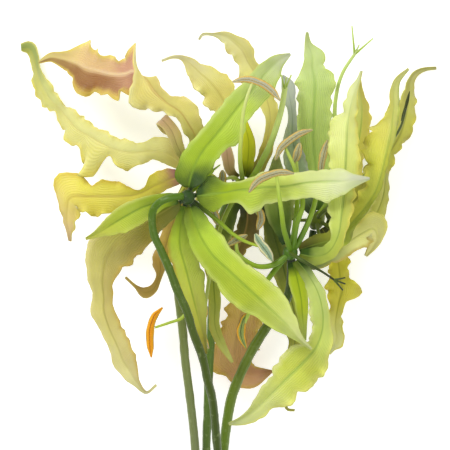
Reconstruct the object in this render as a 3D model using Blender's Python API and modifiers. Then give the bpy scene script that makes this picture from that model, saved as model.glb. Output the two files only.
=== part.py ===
"""A cut bunch of glory lilies, laid on its back on a flat surface.

Five blooms hang on four cut stems. Each bloom has six tepals round a heart: the
receptacle and ovary, the style with its three stigma branches, and six stamens. A tepal
is a blade that runs along its midrib's route, with a half width to each side of it.

Routes are in millimetres: x to the right, y towards the tepals' upper tips and z above
the surface. The bunch rests on two tepal tips and on the cut end of the right stem.
"""
import math

import bmesh
import bpy
from mathutils import Matrix, Vector

MM = 0.001
# The route place that becomes the origin: under the middle of the bunch, on the surface.
MIDDLE = Vector((1.42, -17.25, -0.11))

# A tepal: its blade's thickness, the length of a facet, its claw at the receptacle, its
# least half width, the wave of its margins and how far they curve back from the midrib.
BLADE = 0.7
BLADE_STEP = 5.0
CLAW_START = 3.9
CLAW_RISE = 0.3
CLAW_HALF_WIDTH = 1.2
TIP_HALF_WIDTH = 0.5
WAVE_LENGTH = 19.0
WAVE_HEIGHT = 0.09
RIGHT_WAVE_SHIFT = 2.1
CUP = 0.16

# The round pieces: radii, facet length, and how thin each end is beside the middle.
RECEPTACLE_RADIUS = 3.0
FILAMENT_RADIUS = 1.0
ANTHER_RADIUS = 1.5
STYLE_RADIUS = 1.3
BRANCH_RADIUS = 0.7
STEM_RADIUS = 1.7
FORKED_STEM_RADIUS = 2.0
FORK_RADIUS = 1.4
TUBE_STEP = 7.0
ANTHER_STEP = 5.0
FILAMENT_ENDS = (1.0, 0.75)
ANTHER_ENDS = (0.6, 0.6)
BRANCH_ENDS = (1.0, 0.8)
STEM_ENDS = (0.85, 1.0)
BRANCH_ROOT = 0.15
SHARP_ANGLE = math.radians(50)

SAMPLES = 12
WELD = 0.01 * MM
MERGE = 0.004 * MM
ROUGHNESS = 0.55

LIME = ("tepal_lime", (0.42, 0.60, 0.08))
YELLOW = ("tepal_yellow", (0.72, 0.68, 0.16))
PALE = ("tepal_pale_green", (0.62, 0.70, 0.22))
HEART = ("heart_green", (0.36, 0.50, 0.12))
STEM = ("stem_green", (0.15, 0.27, 0.04))

# Each bloom holds its centre and, for each tepal, rows of x, y, z, half width to the
# left, half width to the right and, where the blade twists, its turn in degrees.
FRONT_BLOOM = {
    "centre": (-15, 11, 66),
    "tepals": {
        "upper": [
            (-14, 17.5, 67, 4.4, 3.6), (-12, 24, 67, 6.4, 6.8), (-8.5, 30, 65.5, 6, 6.6),
            (-4.5, 35, 63.5, 5.6, 7), (-0.5, 40, 62, 5.6, 9.6), (3, 44.5, 61, 5.4, 6.8),
            (6.5, 49, 60, 5.2, 6.8), (11.5, 55, 59, 4.4, 7.2),
            (16.5, 61, 60, 4, 6.4), (21, 65, 62, 3, 3), (26, 68, 64, 0.5, 0.5)],
        "right": [
            (-7.5, 12, 65, 4.4, 4.6), (-4.5, 12.5, 64, 7, 6.6), (0, 13, 62.5, 4.6, 4.8),
            (5, 14, 61, 3.6, 5.2), (10, 14.5, 60, 4.4, 10.4), (15, 15, 60, 6, 7.2),
            (24, 15.5, 60, 5.2, 6), (33, 17, 61, 4.4, 6.4), (41, 17.5, 62, 4.8, 8),
            (47, 17.5, 64, 4.8, 5.2), (51.5, 18, 65, 2.4, 2.8), (57.5, 18.5, 67, 0.5, 0.5)],
        "lower_right": [
            (-12, 1, 66, 4.8, 3.6), (-9, -6, 65, 7.2, 5.2), (-4.5, -12.5, 64, 7.6, 6),
            (2, -18.5, 63, 6.8, 8), (9.5, -25.5, 62, 7.6, 8.8), (17.5, -33, 61, 8, 6.4),
            (24.5, -39.5, 61, 4.8, 4.4), (29.5, -45, 62, 1.6, 1.6), (34.5, -49.5, 63, 0.5, 0.5)],
        "lower": [
            (-17.5, 1, 61, 2.4, 2.6), (-18, -8, 58, 4.8, 5.2), (-15.5, -18, 54, 6, 5.2),
            (-13, -28, 51, 5.6, 4.4), (-10.5, -38, 49, 3.2, 3.2), (-8.5, -46, 48, 1.2, 1.6),
            (-7.5, -51.5, 48, 0.5, 0.5)],
        "lower_left": [
            (-25, 5, 61, 4.4, 3), (-33, 0.5, 57, 8, 5.6), (-41, -5, 52, 9.8, 9),
            (-47, -12.5, 49, 8.8, 9.5), (-49, -21, 47, 5, 6.6), (-48.5, -30, 45, 3.6, 4.6),
            (-48.5, -34, 45, 4, 6), (-46.5, -41, 44, 4.8, 4.2), (-42.5, -50, 43, 5.4, 4),
            (-41, -54, 43, 6, 5), (-38.5, -58, 43, 3.8, 4.4), (-35.5, -63, 44, 1.6, 1.8),
            (-31.5, -67, 46, 0.6, 0.6), (-27.5, -64, 49, 0.5, 0.5)],
        "left": [
            (-25, 9.5, 67, 3.2, 3.2), (-33, 7, 67, 5.6, 4), (-40.5, 3, 66, 6, 4.4),
            (-47, -1, 64, 3.6, 2.8), (-51.5, -4, 61, 1.2, 1.6), (-55.5, -5.5, 59, 0.5, 0.5)],
    },
    "style": [(-15, 11, 64), (-14, 13, 58), (-9, 17, 55), (-5, 22, 52)],
    "branches": [(-4, 26, 52), (-2, 24, 50), (-7, 25, 49)],
    "stamens": [
        ([(-16, 8, 62), (-17, -6, 53), (-15.5, -22, 46.5), (-15, -32, 45), (-17, -37, 45),
          (-22, -39, 45), (-28, -41, 45)],
         [(-25, -33, 45), (-28.5, -37, 45), (-30, -43, 45), (-29.5, -53, 45)]),
        ([(-12, 9, 62), (-7, 5, 58), (-2, 1, 57), (3, -3.5, 56), (8, -6.5, 55), (15, -9, 55)],
         [(12, -3.5, 55), (14, -7, 55), (17, -11, 55), (19, -14.5, 55)]),
        ([(-14, 14, 62), (-8, 25, 57), (0, 37, 54), (8, 45, 52)],
         [(5, 41, 52), (8, 45, 52), (13, 49, 52)]),
        ([(-18, 9, 62), (-20, 4, 54), (-28, -2, 49), (-38, -7, 46)],
         [(-34, -3, 46), (-38, -7, 46), (-42, -11, 44.5)]),
        ([(-13, 8, 62), (-7, -4, 57), (0, -14, 56), (9, -24, 54)],
         [(5, -21, 54), (9, -24, 54), (14, -30, 54)]),
        ([(-11, 12, 62), (0, 13, 57), (10, 14, 56), (18, 14.5, 56)],
         [(14, 16, 56), (18, 14.5, 56), (24, 13.5, 56)]),
    ],
}
LEFT_BLOOM = {
    "centre": (-13, 21, 40),
    "tepals": {
        "far_left": [
            (-22, 27.5, 40, 3, 4), (-26, 29, 40, 3.6, 6.8), (-31.5, 29.5, 39.5, 4, 4.4),
            (-36.5, 29, 38, 5.8, 4.6), (-41, 29.5, 37, 6.4, 4.4), (-46, 31, 34.5, 3.6, 4.4),
            (-49, 32.5, 33, 12.5, 4.4), (-52.5, 34.5, 30.5, 14, 4.4), (-55.5, 36.2, 28.5, 5.6, 4.4),
            (-59.5, 38.5, 26, 8, 5.2),
            (-63.5, 43, 22, 5.6, 4), (-67, 47.5, 17, 2.4, 2.4), (-71, 51, 12, 5, 3.8),
            (-74.5, 58, 8, 4.4, 2.8), (-76, 63.5, 5, 3, 1.6), (-77, 68.5, 2.8, 2.8, 2),
            (-79, 71.5, 1.5, 2.6, 2.8), (-82.5, 71.5, 0.9, 1.2, 1.8)],
        "red_faced": [
            (-11, 33, 48, 3.2, 3.2), (-14.5, 40, 51, 3.2, 5.4), (-18, 45, 52, 3, 6),
            (-23.5, 49, 51, 6, 3.6), (-28.5, 54, 49, 10.5, 3.6), (-31, 58, 46, 8, 3.4, 40),
            (-33.5, 60.5, 42.5, 4.4, 3.6, 120), (-36.5, 61.5, 38.5, 9.5, 6.4, 175),
            (-40, 60.5, 34.5, 7, 10, 180), (-45, 60.5, 31, 7.6, 8.4, 180),
            (-51, 62, 28, 7, 10.4, 180), (-55, 63, 26, 7, 11.4, 180),
            (-59, 65, 23, 9.4, 7.6, 180), (-62, 66, 21, 5, 5.6, 180),
            (-66, 67, 20, 2.8, 3.2, 180), (-70, 67.5, 19, 2, 2, 180),
            (-75, 65.5, 18, 0.5, 0.5, 180)],
        "left": [
            (-23, 17.5, 38, 2.8, 4.4), (-28.5, 15.5, 37.3, 3.2, 4.2), (-32.5, 13.5, 36.7, 3.4, 1.2),
            (-37, 12, 36, 4.8, 2.6), (-43, 11.5, 35, 6.4, 6.2), (-48.5, 11.5, 34, 8, 7),
            (-54, 11.5, 33, 7.2, 6.2), (-62, 11, 31, 5.6, 10.5), (-63.5, 6.5, 27, 5.4, 5.2),
            (-63.5, 1, 23, 4.8, 2.8), (-63, -3, 20, 1.8, 1.4), (-62.5, -6.5, 18, 0.8, 0.8)],
        "upper": [
            (-5, 30, 35, 3.2, 3.2), (-1, 39, 35, 4.8, 4.8), (0.5, 47, 35, 6.4, 5.6),
            (-2.5, 53, 34, 6.8, 6.8), (-6.5, 58, 33, 6.4, 6), (-10, 61, 32, 5.2, 4.8),
            (-13, 64, 31, 3.2, 2.8), (-17, 67, 29, 1.2, 1.2), (-21, 67.5, 27, 0.7, 0.7),
            (-25.5, 66, 26, 0.5, 0.5)],
        "curled": [
            (-19, 6, 40, 2.8, 2.8), (-23, -6, 36, 3.2, 3.2), (-25.5, -15, 33, 2.4, 3.6),
            (-26.5, -21, 31, 1.2, 1.2), (-29, -26, 30, 1.6, 2), (-32.5, -27, 30, 2.4, 2),
            (-35.5, -25, 29, 0.8, 0.8), (-40, -21, 28, 0.5, 0.5)],
        "hooked": [
            (-18.8, 31, 45.8, 2.2, 2.4), (-21.3, 37.5, 46, 2.4, 2.8), (-25, 42, 43.5, 2.4, 2.6),
            (-26, 41.5, 38, 2.2, 2.2), (-23.5, 38, 34.5, 1.8, 1.8), (-21, 36, 33.5, 0.5, 0.5)],
    },
    "style": [(-13, 21, 42), (-11, 20, 46), (-6, 20, 47), (-3, 18, 47)],
    "branches": [(0, 20, 48), (0.5, 17, 46), (-2, 14, 48)],
    "stamens": [
        ([(-16, 20, 35), (-22, 17.5, 31.5), (-29, 15.5, 30)],
         [(-25, 16, 30.5), (-29, 15, 30), (-35, 13, 30)]),
        ([(-16, 23, 36), (-22, 27, 34), (-29, 29, 33)],
         [(-26, 28.5, 33.5), (-31, 29.5, 32.5), (-37, 29.5, 31)]),
        ([(-14, 19, 42), (-17, 14, 46), (-21, 8, 47)], [(-17, 7, 47), (-21, 8, 47), (-25, 10, 47)]),
        ([(-12, 19, 42), (-11, 13, 46), (-12, 6, 47)], [(-8, 5, 47), (-12, 6, 47), (-16, 5, 47)]),
        ([(-11, 20, 42), (-7, 14, 45), (-3, 9, 46)], [(-6, 6, 46), (-3, 9, 46), (-1, 13, 46)]),
        ([(-9, 23, 43), (-5.5, 27, 43.5), (-4.5, 33, 43)], [(-5, 29, 43), (-4.5, 33, 43), (-4, 37, 43)]),
    ],
}
RIGHT_BLOOM = {
    "centre": (26, -11, 50),
    "tepals": {
        "upper": [
            (35, -12.5, 52, 2.8, 2.8), (41, -11, 54, 3.2, 3.2), (45, -4.5, 56, 3.2, 3.2),
            (46.5, 4, 57, 6.4, 3.6), (47.5, 12, 57, 8, 4.8), (48, 22, 57, 7.6, 5.6),
            (48.5, 32, 56, 7.6, 5.2), (49, 40.5, 55, 8.2, 4), (49.5, 44.5, 55, 3.2, 3.8),
            (50.2, 48, 55, 3, 3.6), (51.5, 53, 54, 2.8, 1.6), (53.5, 58, 53, 1.2, 0.8),
            (54.5, 61.5, 52, 0.5, 0.5)],
        "far_right": [
            (37, -7.5, 46, 3.2, 3.2), (45, -5, 45, 3.6, 3.6), (51.5, 1.5, 46, 3.6, 2),
            (56.5, 7.5, 48, 5.2, 1.6), (60.5, 14, 49, 5.6, 1.6), (63, 22, 50, 6.8, 1.6),
            (65, 30, 50, 9.6, 1.6), (66.5, 37, 49, 8.8, 2), (67, 43, 48, 3.6, 2.8),
            (67.5, 48, 47, 1.8, 2.4), (67.5, 53, 46, 1.6, 2), (69, 58, 46, 1.2, 1.4),
            (73.5, 62.5, 45, 0.5, 0.5)],
        "long_lower": [
            (33, -19.5, 53, 2, 2.4), (37, -26.5, 54, 2.4, 4.2), (39, -34, 54, 2.4, 4.8),
            (39, -41, 53, 3.2, 4), (36.5, -48.5, 52, 6.4, 4), (32, -54, 51, 9.4, 7.2),
            (26, -60, 50, 9, 7.2), (19, -67, 50, 7, 4.4), (12.5, -73.5, 50, 4.4, 2.6),
            (7, -77.5, 51, 2.6, 1.4), (1.5, -79.5, 52, 0.5, 0.5)],
        "short_lower": [
            (29, -22, 48, 3.2, 3.6), (30.5, -30, 48, 2.8, 2.8), (31, -37, 48, 2, 2),
            (31.5, -42, 49, 1.2, 1.2), (32, -46, 49, 0.5, 0.5)],
        "upper_left": [
            (23, -2, 46, 3.2, 3.2), (21.5, 5, 43, 5, 6.4), (21.5, 12, 41, 5, 6.4),
            (21, 18, 41, 4, 4), (20.5, 24, 42, 2.4, 2.4), (21, 29, 43, 0.5, 0.5)],
        "right": [
            (36, -15, 44, 3.2, 2.8), (43, -11.5, 42, 3.6, 4), (50, -6.5, 40, 3.6, 5),
            (55.5, -3, 39, 4, 6.2), (59.5, -1.5, 38, 6.4, 5), (61, -5, 36, 3.2, 3.2),
            (59, -9, 34, 2, 2), (56.5, -12.5, 33, 0.8, 0.8)],
    },
    "style": [(26, -11, 52), (29, -13, 56), (34, -16, 57), (38.5, -18.5, 57), (44.5, -22.5, 57)],
    "branches": [(48, -23.5, 57), (47, -26, 56), (48, -21, 58)],
    "stamens": [
        ([(26, -10, 52), (23.5, -2, 59), (22.5, 5, 64.5), (21.5, 12, 65.5), (20.5, 20, 66)],
         [(9.5, 13, 66.5), (12.5, 17, 66.5), (16.5, 19.5, 66.5), (22, 21, 66.5), (27.5, 20.5, 67)]),
        ([(27, -9, 52), (28.5, 0, 54), (31, 8.5, 54), (28, 22, 54), (24, 31, 56)],
         [(20, 26, 57), (22.5, 31, 57), (26, 34, 57), (30, 36.5, 57), (35, 38, 57)]),
        ([(25, -12, 51), (19, -16, 51), (13, -16.5, 51), (8, -14, 51), (5, -11, 51), (4.5, -6, 51)],
         [(1, -8, 51), (4.5, -6, 51), (9, -4, 51)]),
        ([(28, -9, 51), (34, 3, 50), (37, 14, 50), (39, 27, 50)],
         [(38, 20, 50), (39, 27, 50), (41, 34, 50)]),
        ([(27, -7, 51), (28.5, 4, 49.5), (29, 15, 48), (28.5, 27, 47)],
         [(27, 24, 47), (28.5, 27, 47), (30, 33, 47)]),
        ([(24, -13, 50), (17, -22, 47), (12, -30, 44), (7.5, -40, 42)],
         [(10, -35, 42), (7.5, -38, 42), (6.5, -44, 42), (8.5, -49.5, 42)]),
    ],
}
MIDDLE_BLOOM = {
    "centre": (7, 15.5, 42),
    "tepals": {
        "upper": [
            (14, 24, 38, 2.4, 2.4), (17, 35, 36, 1.6, 3), (18, 45, 35, 2.2, 3.6),
            (15.5, 54, 34, 6, 3.6), (12, 61, 33, 5.6, 3.6), (9, 66, 32, 4, 3.2),
            (7, 70, 31, 5.2, 4.4), (4, 73, 30, 4.4, 3.6), (0.5, 75.5, 29, 2.8, 2.8),
            (-4.5, 76.5, 28, 0.8, 0.8), (-9, 76.5, 27, 0.6, 0.6), (-10.5, 74.5, 26, 0.5, 0.5)],
        "narrow": [
            (9, 25, 44, 2.6, 2.8), (9.5, 33, 43, 2.8, 2.4), (8, 40, 42, 2.4, 1.6),
            (5, 48, 41, 1.6, 1.2), (3, 53, 40, 0.5, 0.5)],
        "lower": [
            (1, 2, 38, 3.2, 3.2), (-3, -10, 36, 4, 4), (-4.5, -22, 36, 3.2, 3.2),
            (-4, -32, 37, 2.4, 2.4), (-4, -40, 38, 1.8, 2.4), (-1.5, -47, 39, 1.6, 2),
            (3, -55, 40, 0.5, 0.5)],
        "red_lower": [
            (9, 4, 33, 4.4, 2.8), (8, -3, 30, 5.4, 4), (5, -11, 27.5, 3.6, 4), (5, -18, 25.5, 4.4, 4.4),
            (7.5, -27, 22, 7, 6.4), (6.5, -36, 18, 9.6, 6.4), (4.5, -46, 15, 9.6, 6.8), (4, -53, 13, 9, 9),
            (7, -58.5, 12, 5.6, 7.2), (11.5, -60.5, 12, 3.6, 5), (15.5, -60, 12, 2.4, 2.4),
            (19, -59, 12, 0.5, 0.5)],
        "lower_right": [
            (16, 8, 35, 2.2, 2.2), (20, -5, 28, 4, 4), (23.5, -17, 23, 4.4, 4.4),
            (26.5, -29, 20, 4, 4), (28.5, -40, 18, 3.6, 3.6), (27, -56, 18, 2, 2),
            (24.5, -69, 19, 0.8, 0.8), (25, -74, 20, 0.6, 0.6), (28, -74.5, 21, 0.5, 0.5)],
        "hooked": [
            (2, 22, 44, 2, 2), (1, 27, 44, 2.4, 2.4), (0.5, 31, 43, 2, 2),
            (-0.5, 31, 40.5, 1.6, 1.6), (-1.5, 29, 39.5, 0.5, 0.5)],
    },
    "style": [(8, 16, 44), (11, 19, 46), (15, 26, 48), (18, 32, 50), (20.5, 39, 50),
              (22.5, 46, 50), (24, 55, 50)],
    "branches": [(26.5, 60, 50), (22.5, 60, 51), (24.5, 59, 53)],
    "stamens": [
        ([(7, 18, 46), (6.5, 21, 54), (6, 25.5, 62), (6, 30, 65.5), (6.5, 36, 66.5), (7, 43, 66.5),
          (8.5, 50, 66.5), (11, 57, 66.5)],
         [(3, 57, 66.5), (8, 58, 66.5), (13, 57, 66.5), (18, 54, 66.5), (22, 49.5, 66.5)]),
        ([(5, 13, 43), (-1, 1, 42), (-5, -14, 42.5), (-7, -26, 43), (-8.8, -40, 43)],
         [(-7, -32.5, 43), (-9, -38, 43), (-9, -44, 43), (-6.5, -49.5, 43)]),
        ([(8, 13, 44), (11, 8, 47), (14, 3, 49)], [(13.5, 7, 49), (14.5, 3, 49), (13, -2, 49)]),
        ([(10, 15.5, 45), (15, 14.5, 47.5), (22, 14, 48)], [(21, 10, 48), (22, 14, 48), (22, 19, 48)]),
        ([(5, 15, 44), (-1, 9, 49), (-4, 4, 51)], [(-6, 8, 51), (-4, 4, 51), (-3, 0, 51)]),
        ([(6, 17, 44), (3, 19, 50), (-1, 18, 52)], [(-1, 22, 52), (-1, 18, 52), (-2, 14, 52)]),
    ],
}
BACK_BLOOM = {
    "centre": (37, 2, 25),
    "tepals": {
        "broad": [
            (37, 13, 27, 4, 4), (36.5, 22, 28, 6, 5.6), (35.5, 32, 29, 7.2, 7.2),
            (35.5, 42, 29, 7.2, 7.6), (36, 51, 29, 7.2, 7.2), (36, 58, 29, 7.2, 8),
            (35, 63.5, 28, 4, 4.8), (35, 68, 28, 3.2, 5.2), (33.5, 72.5, 27, 1.6, 1.6),
            (33, 77.5, 26, 0.5, 0.5)],
        "upper_right": [
            (44, 12, 24, 3, 3), (51, 24, 23, 4.8, 4.4), (54, 35, 23, 4.8, 3.6),
            (55, 43, 23, 4, 3.6), (55, 49, 23, 2.4, 2.4), (54, 54, 23, 1.6, 1.6),
            (54, 60, 23, 0.5, 0.5)],
        "far_right": [
            (50, 8, 19.5, 3, 3), (60, 19, 14, 4.8, 4.6), (67, 30, 10, 4.2, 3.8),
            (71, 37, 7, 5.6, 4.4), (73, 43.5, 5, 4.2, 3.6), (74, 48.5, 3.6, 3.4, 4),
            (74.5, 53, 2.6, 2.8, 2.8), (75, 58, 1.6, 1.4, 1.6), (77.5, 61.5, 1, 1.2, 1.2),
            (81, 63, 0.7, 0.8, 0.8), (85.5, 63.5, 0.5, 0.6, 0.6)],
        "upper_left": [
            (31, 13, 32, 3.6, 3.6), (29, 25, 34, 5, 3.8), (27, 36, 35, 3, 2.4),
            (27, 44, 35, 1.6, 1.6), (26, 51, 35, 2.8, 2.4), (25, 56, 35, 2.4, 2.8),
            (23, 60, 35, 0.5, 0.5)],
        "right": [
            (49, -2, 17, 2.8, 2.8), (59, 2, 12, 4.4, 6.2), (63.5, 10, 8, 4, 3.4),
            (65, 19, 6, 2.6, 2), (66, 26, 4, 1.8, 1.4), (67.5, 31, 3, 0.5, 0.5)],
        "lower": [
            (43, -8, 20, 3.2, 3.2), (45.5, -15, 19, 4.4, 4), (46.5, -22, 18, 4, 5.6),
            (47, -26.6, 18, 8.6, 6), (46, -31, 17.4, 3.2, 4.6), (44.5, -40, 17, 3.4, 3.6),
            (45, -46, 17, 3.6, 3.6), (43, -49.5, 17, 1.6, 2), (42, -52, 17, 0.5, 0.5)],
    },
    "style": [
        (37, 3, 26), (41.5, 10, 29.5), (44, 20, 28), (44.2, 34, 27), (44.4, 50, 26), (47, 60.5, 26),
        (53, 70, 26)],
    "branches": [(51, 80, 26), (59.5, 75, 26), (54, 72.5, 20)],
    "stamens": [
        ([(38.5, 4.5, 30), (48, 12, 30), (58, 22, 28), (65, 31, 23), (70.5, 39, 16.5), (73, 47, 12.5)],
         [(71, 42, 13.5), (73, 48, 12), (74.5, 54, 10.5)]),
        ([(37, 0, 28), (38, -6, 31), (38, -13, 32)], [(35, -12, 32), (38, -13, 32), (42, -13, 32)]),
        ([(34, 2, 24), (29, 2, 22), (25, 3, 21)], [(26, 7, 21), (25, 3, 21), (24, -1, 21)]),
        ([(36, 5, 22), (35, 14, 20), (33, 27, 20), (31, 37, 20)],
         [(32, 33, 20), (31, 37, 20), (29, 42, 20)]),
        ([(39, 1, 27), (46, -4, 28), (52, -8, 27)], [(50, -11, 27), (52, -8, 27), (55, -5, 27)]),
        ([(38.4, 5.3, 21.6), (44.5, 15, 17.6), (50, 26, 17), (52, 34, 17)],
         [(50, 31, 17), (52, 34, 17), (53, 39, 17)]),
    ],
}
BLOOMS = {
    "front": (FRONT_BLOOM, LIME),
    "left": (LEFT_BLOOM, YELLOW),
    "right": (RIGHT_BLOOM, PALE),
    "middle": (MIDDLE_BLOOM, YELLOW),
    "back": (BACK_BLOOM, PALE),
}

# Each stem runs from just clear of its bloom's receptacle to its cut end.
STEMS = {
    "front": [
        (-17, 11.5, 71.5), (-21, 11, 73.5), (-26, 9, 73), (-28.5, 6, 71), (-29, 1, 69.5),
        (-28, -4.5, 68), (-25.5, -10, 66.5), (-22, -18, 65), (-19, -26, 62.5), (-15, -35, 60),
        (-13, -42, 57.5), (-9, -53, 52), (-7, -62, 47), (-5, -70, 42), (-3, -90, 30), (0, -112, 17)],
    "left": [
        (-13.5, 17.5, 36), (-15, 8, 34), (-18, -5, 33), (-19.5, -18, 34), (-18.5, -30, 34),
        (-17, -42, 33), (-16, -54, 31), (-14, -70, 27), (-12, -90, 21), (-11.5, -112, 14)],
    "middle": [
        (4.5, 14.5, 36.5), (1.5, 10, 33), (-2, 1, 28), (-4, -14, 24), (-5, -30, 23), (-6, -51, 24),
        (-6.5, -60, 24), (-7, -75, 21), (-7.5, -90, 16), (-7, -112, 9)],
}
RIGHT_STEM = [
    (26.5, -14, 46), (26.5, -20, 41), (25, -29, 35), (16, -42, 29), (10, -52, 26), (4.5, -64, 23),
    (2.5, -70, 20.5), (1, -78, 16.5), (-0.5, -90, 10.5), (-1.5, -102, 5.3), (-2.5, -114, 1.8)]

# The back bloom hangs from a side pedicel that leaves the right stem.
BACK_PEDICEL = [(35.5, -2.5, 23), (34, -9, 25), (30, -19, 30), (25.5, -28, 34.5), (22, -33, 33)]


def clear_scene():
    for thing in list(bpy.data.objects):
        bpy.data.objects.remove(thing, do_unlink=True)


def make_collection(name):
    collection = bpy.data.collections.new(name)
    bpy.context.scene.collection.children.link(collection)
    return collection


def make_material(look):
    name, colour = look
    if name in bpy.data.materials:
        return bpy.data.materials[name]
    material = bpy.data.materials.new(name)
    material.use_nodes = True
    shader = material.node_tree.nodes["Principled BSDF"]
    shader.inputs["Base Color"].default_value = (*colour, 1.0)
    shader.inputs["Roughness"].default_value = ROUGHNESS
    shader.inputs["Metallic"].default_value = 0.0
    return material


def make_mount(name, centre, collection):
    """The empty that a bloom's pieces hang from, at the middle of its receptacle."""
    mount = bpy.data.objects.new(name, None)
    mount.empty_display_size = RECEPTACLE_RADIUS * MM
    mount.location = (Vector(centre) - MIDDLE) * MM
    collection.objects.link(mount)
    return mount


def blend(before, start, end, after, knots, at):
    """The Catmull-Rom value at one place between start and end, on uneven knots."""
    k0, k1, k2, k3 = knots
    a1 = (before * (k1 - at) + start * (at - k0)) / (k1 - k0)
    a2 = (start * (k2 - at) + end * (at - k1)) / (k2 - k1)
    a3 = (end * (k3 - at) + after * (at - k2)) / (k3 - k2)
    b1 = (a1 * (k2 - at) + a2 * (at - k0)) / (k2 - k0)
    b2 = (a2 * (k3 - at) + a3 * (at - k1)) / (k3 - k1)
    return (b1 * (k2 - at) + b2 * (at - k1)) / (k2 - k1)


def smooth_rows(rows, step):
    """Rows of equal columns, evenly spaced along a smooth curve through the given rows.

    The first three columns are the place. Every column follows the same curve.
    """
    rows = [Vector(row) for row in rows]
    rows = [rows[0] * 2 - rows[1]] + rows + [rows[-1] * 2 - rows[-2]]
    knots = [0.0]
    for a, b in zip(rows, rows[1:]):
        knots.append(knots[-1] + math.sqrt((b.xyz - a.xyz).length))
    fine = []
    for i in range(1, len(rows) - 2):
        for k in range(SAMPLES):
            at = knots[i] + (knots[i + 1] - knots[i]) * k / SAMPLES
            fine.append(blend(*rows[i - 1:i + 3], knots[i - 1:i + 3], at))
    fine.append(rows[-2])
    lengths = [0.0]
    for a, b in zip(fine, fine[1:]):
        lengths.append(lengths[-1] + (b.xyz - a.xyz).length)
    count = max(4, round(lengths[-1] / step))
    even = []
    i = 0
    for k in range(count + 1):
        target = lengths[-1] * k / count
        while i < len(fine) - 2 and lengths[i + 1] < target:
            i += 1
        part = (target - lengths[i]) / (lengths[i + 1] - lengths[i])
        even.append(fine[i].lerp(fine[i + 1], part))
    return even


def add_claw(centre, rows):
    """The tepal's rows with its narrow claw first, which starts just clear of the receptacle."""
    full = [tuple(row) + (0,) * (6 - len(row)) for row in rows]
    centre = Vector(centre)
    towards = Vector(full[0][:3]) - centre
    flat = Vector((towards.x, towards.y, 0)).normalized()
    start = centre + flat * CLAW_START
    start.z += CLAW_RISE * towards.z
    return [(*start, CLAW_HALF_WIDTH, CLAW_HALF_WIDTH, full[0][5])] + full


def blade_frames(stations):
    """The place, side and face direction at each station, carried along without twist."""
    places = [Vector(row[:3]) for row in stations]
    face = Vector((0, 0, 1))
    frames = []
    for i, place in enumerate(places):
        ahead = places[min(i + 1, len(places) - 1)] - places[max(i - 1, 0)]
        ahead.normalize()
        face = (face - ahead * face.dot(ahead)).normalized()
        turn = Matrix.Rotation(math.radians(stations[i][5]), 3, ahead)
        turned = turn @ face
        frames.append((place, turned.cross(ahead), turned))
    return frames


def margin_wave(side, length, half_width):
    """How far a tepal's crisped margin stands off its midrib plane."""
    shift = 0.0 if side > 0 else RIGHT_WAVE_SHIFT
    return WAVE_HEIGHT * half_width * side * side * math.sin(2 * math.pi * length / WAVE_LENGTH + shift)


def make_tepal(name, centre, rows, material, mount, collection):
    """A waved blade along its midrib: one grid, bent to the route, with a thickness."""
    stations = smooth_rows(add_claw(centre, rows), BLADE_STEP)
    frames = blade_frames(stations)
    last = len(stations) - 1
    mesh = bpy.data.meshes.new(name)
    grid = bmesh.new()
    bmesh.ops.create_grid(grid, x_segments=4, y_segments=last, size=1.0)
    for vertex in grid.verts:
        side = vertex.co.x
        index = round((vertex.co.y + 1) / 2 * last)
        place, across, face = frames[index]
        half = stations[index][3] if side > 0 else stations[index][4]
        half = max(half, TIP_HALF_WIDTH)
        droop = CUP * half * side * side
        lift = margin_wave(side, index * BLADE_STEP, half) - droop
        vertex.co = (place + across * side * half + face * lift - Vector(centre)) * MM
    bmesh.ops.triangulate(grid, faces=grid.faces[:], quad_method="ALTERNATE")
    grid.to_mesh(mesh)
    grid.free()
    mesh.materials.append(material)
    tepal = bpy.data.objects.new(name, mesh)
    tepal.parent = mount
    collection.objects.link(tepal)
    solid = tepal.modifiers.new("thickness", "SOLIDIFY")
    solid.thickness = BLADE * MM
    solid.offset = 0.0


def make_tube(name, rows, origin, radius, collection, step=TUBE_STEP, ends=(1.0, 1.0), resolution=1):
    """A closed mesh tube along a smooth route, tapered at its ends, with its own origin."""
    route = smooth_rows(rows, step)
    curve = bpy.data.curves.new(name, "CURVE")
    curve.dimensions = "3D"
    curve.bevel_depth = radius * MM
    curve.bevel_resolution = resolution
    curve.use_fill_caps = True
    spline = curve.splines.new("POLY")
    spline.points.add(len(route) - 1)
    for i, (point, row) in enumerate(zip(spline.points, route)):
        point.co = (*((row.xyz - Vector(origin)) * MM), 1.0)
        point.radius = 1.0
        if i == 0:
            point.radius = ends[0]
        if i == len(route) - 1:
            point.radius = ends[1]
    guide = bpy.data.objects.new(name + "_guide", curve)
    collection.objects.link(guide)
    bpy.context.view_layer.update()
    mesh = bpy.data.meshes.new_from_object(guide.evaluated_get(bpy.context.evaluated_depsgraph_get()))
    bpy.data.objects.remove(guide, do_unlink=True)
    weld = bmesh.new()
    weld.from_mesh(mesh)
    bmesh.ops.remove_doubles(weld, verts=weld.verts[:], dist=WELD)
    bmesh.ops.recalc_face_normals(weld, faces=weld.faces[:])
    weld.to_mesh(mesh)
    weld.free()
    tube = bpy.data.objects.new(name, mesh)
    tube.location = (Vector(origin) - MIDDLE) * MM
    collection.objects.link(tube)
    return tube


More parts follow.
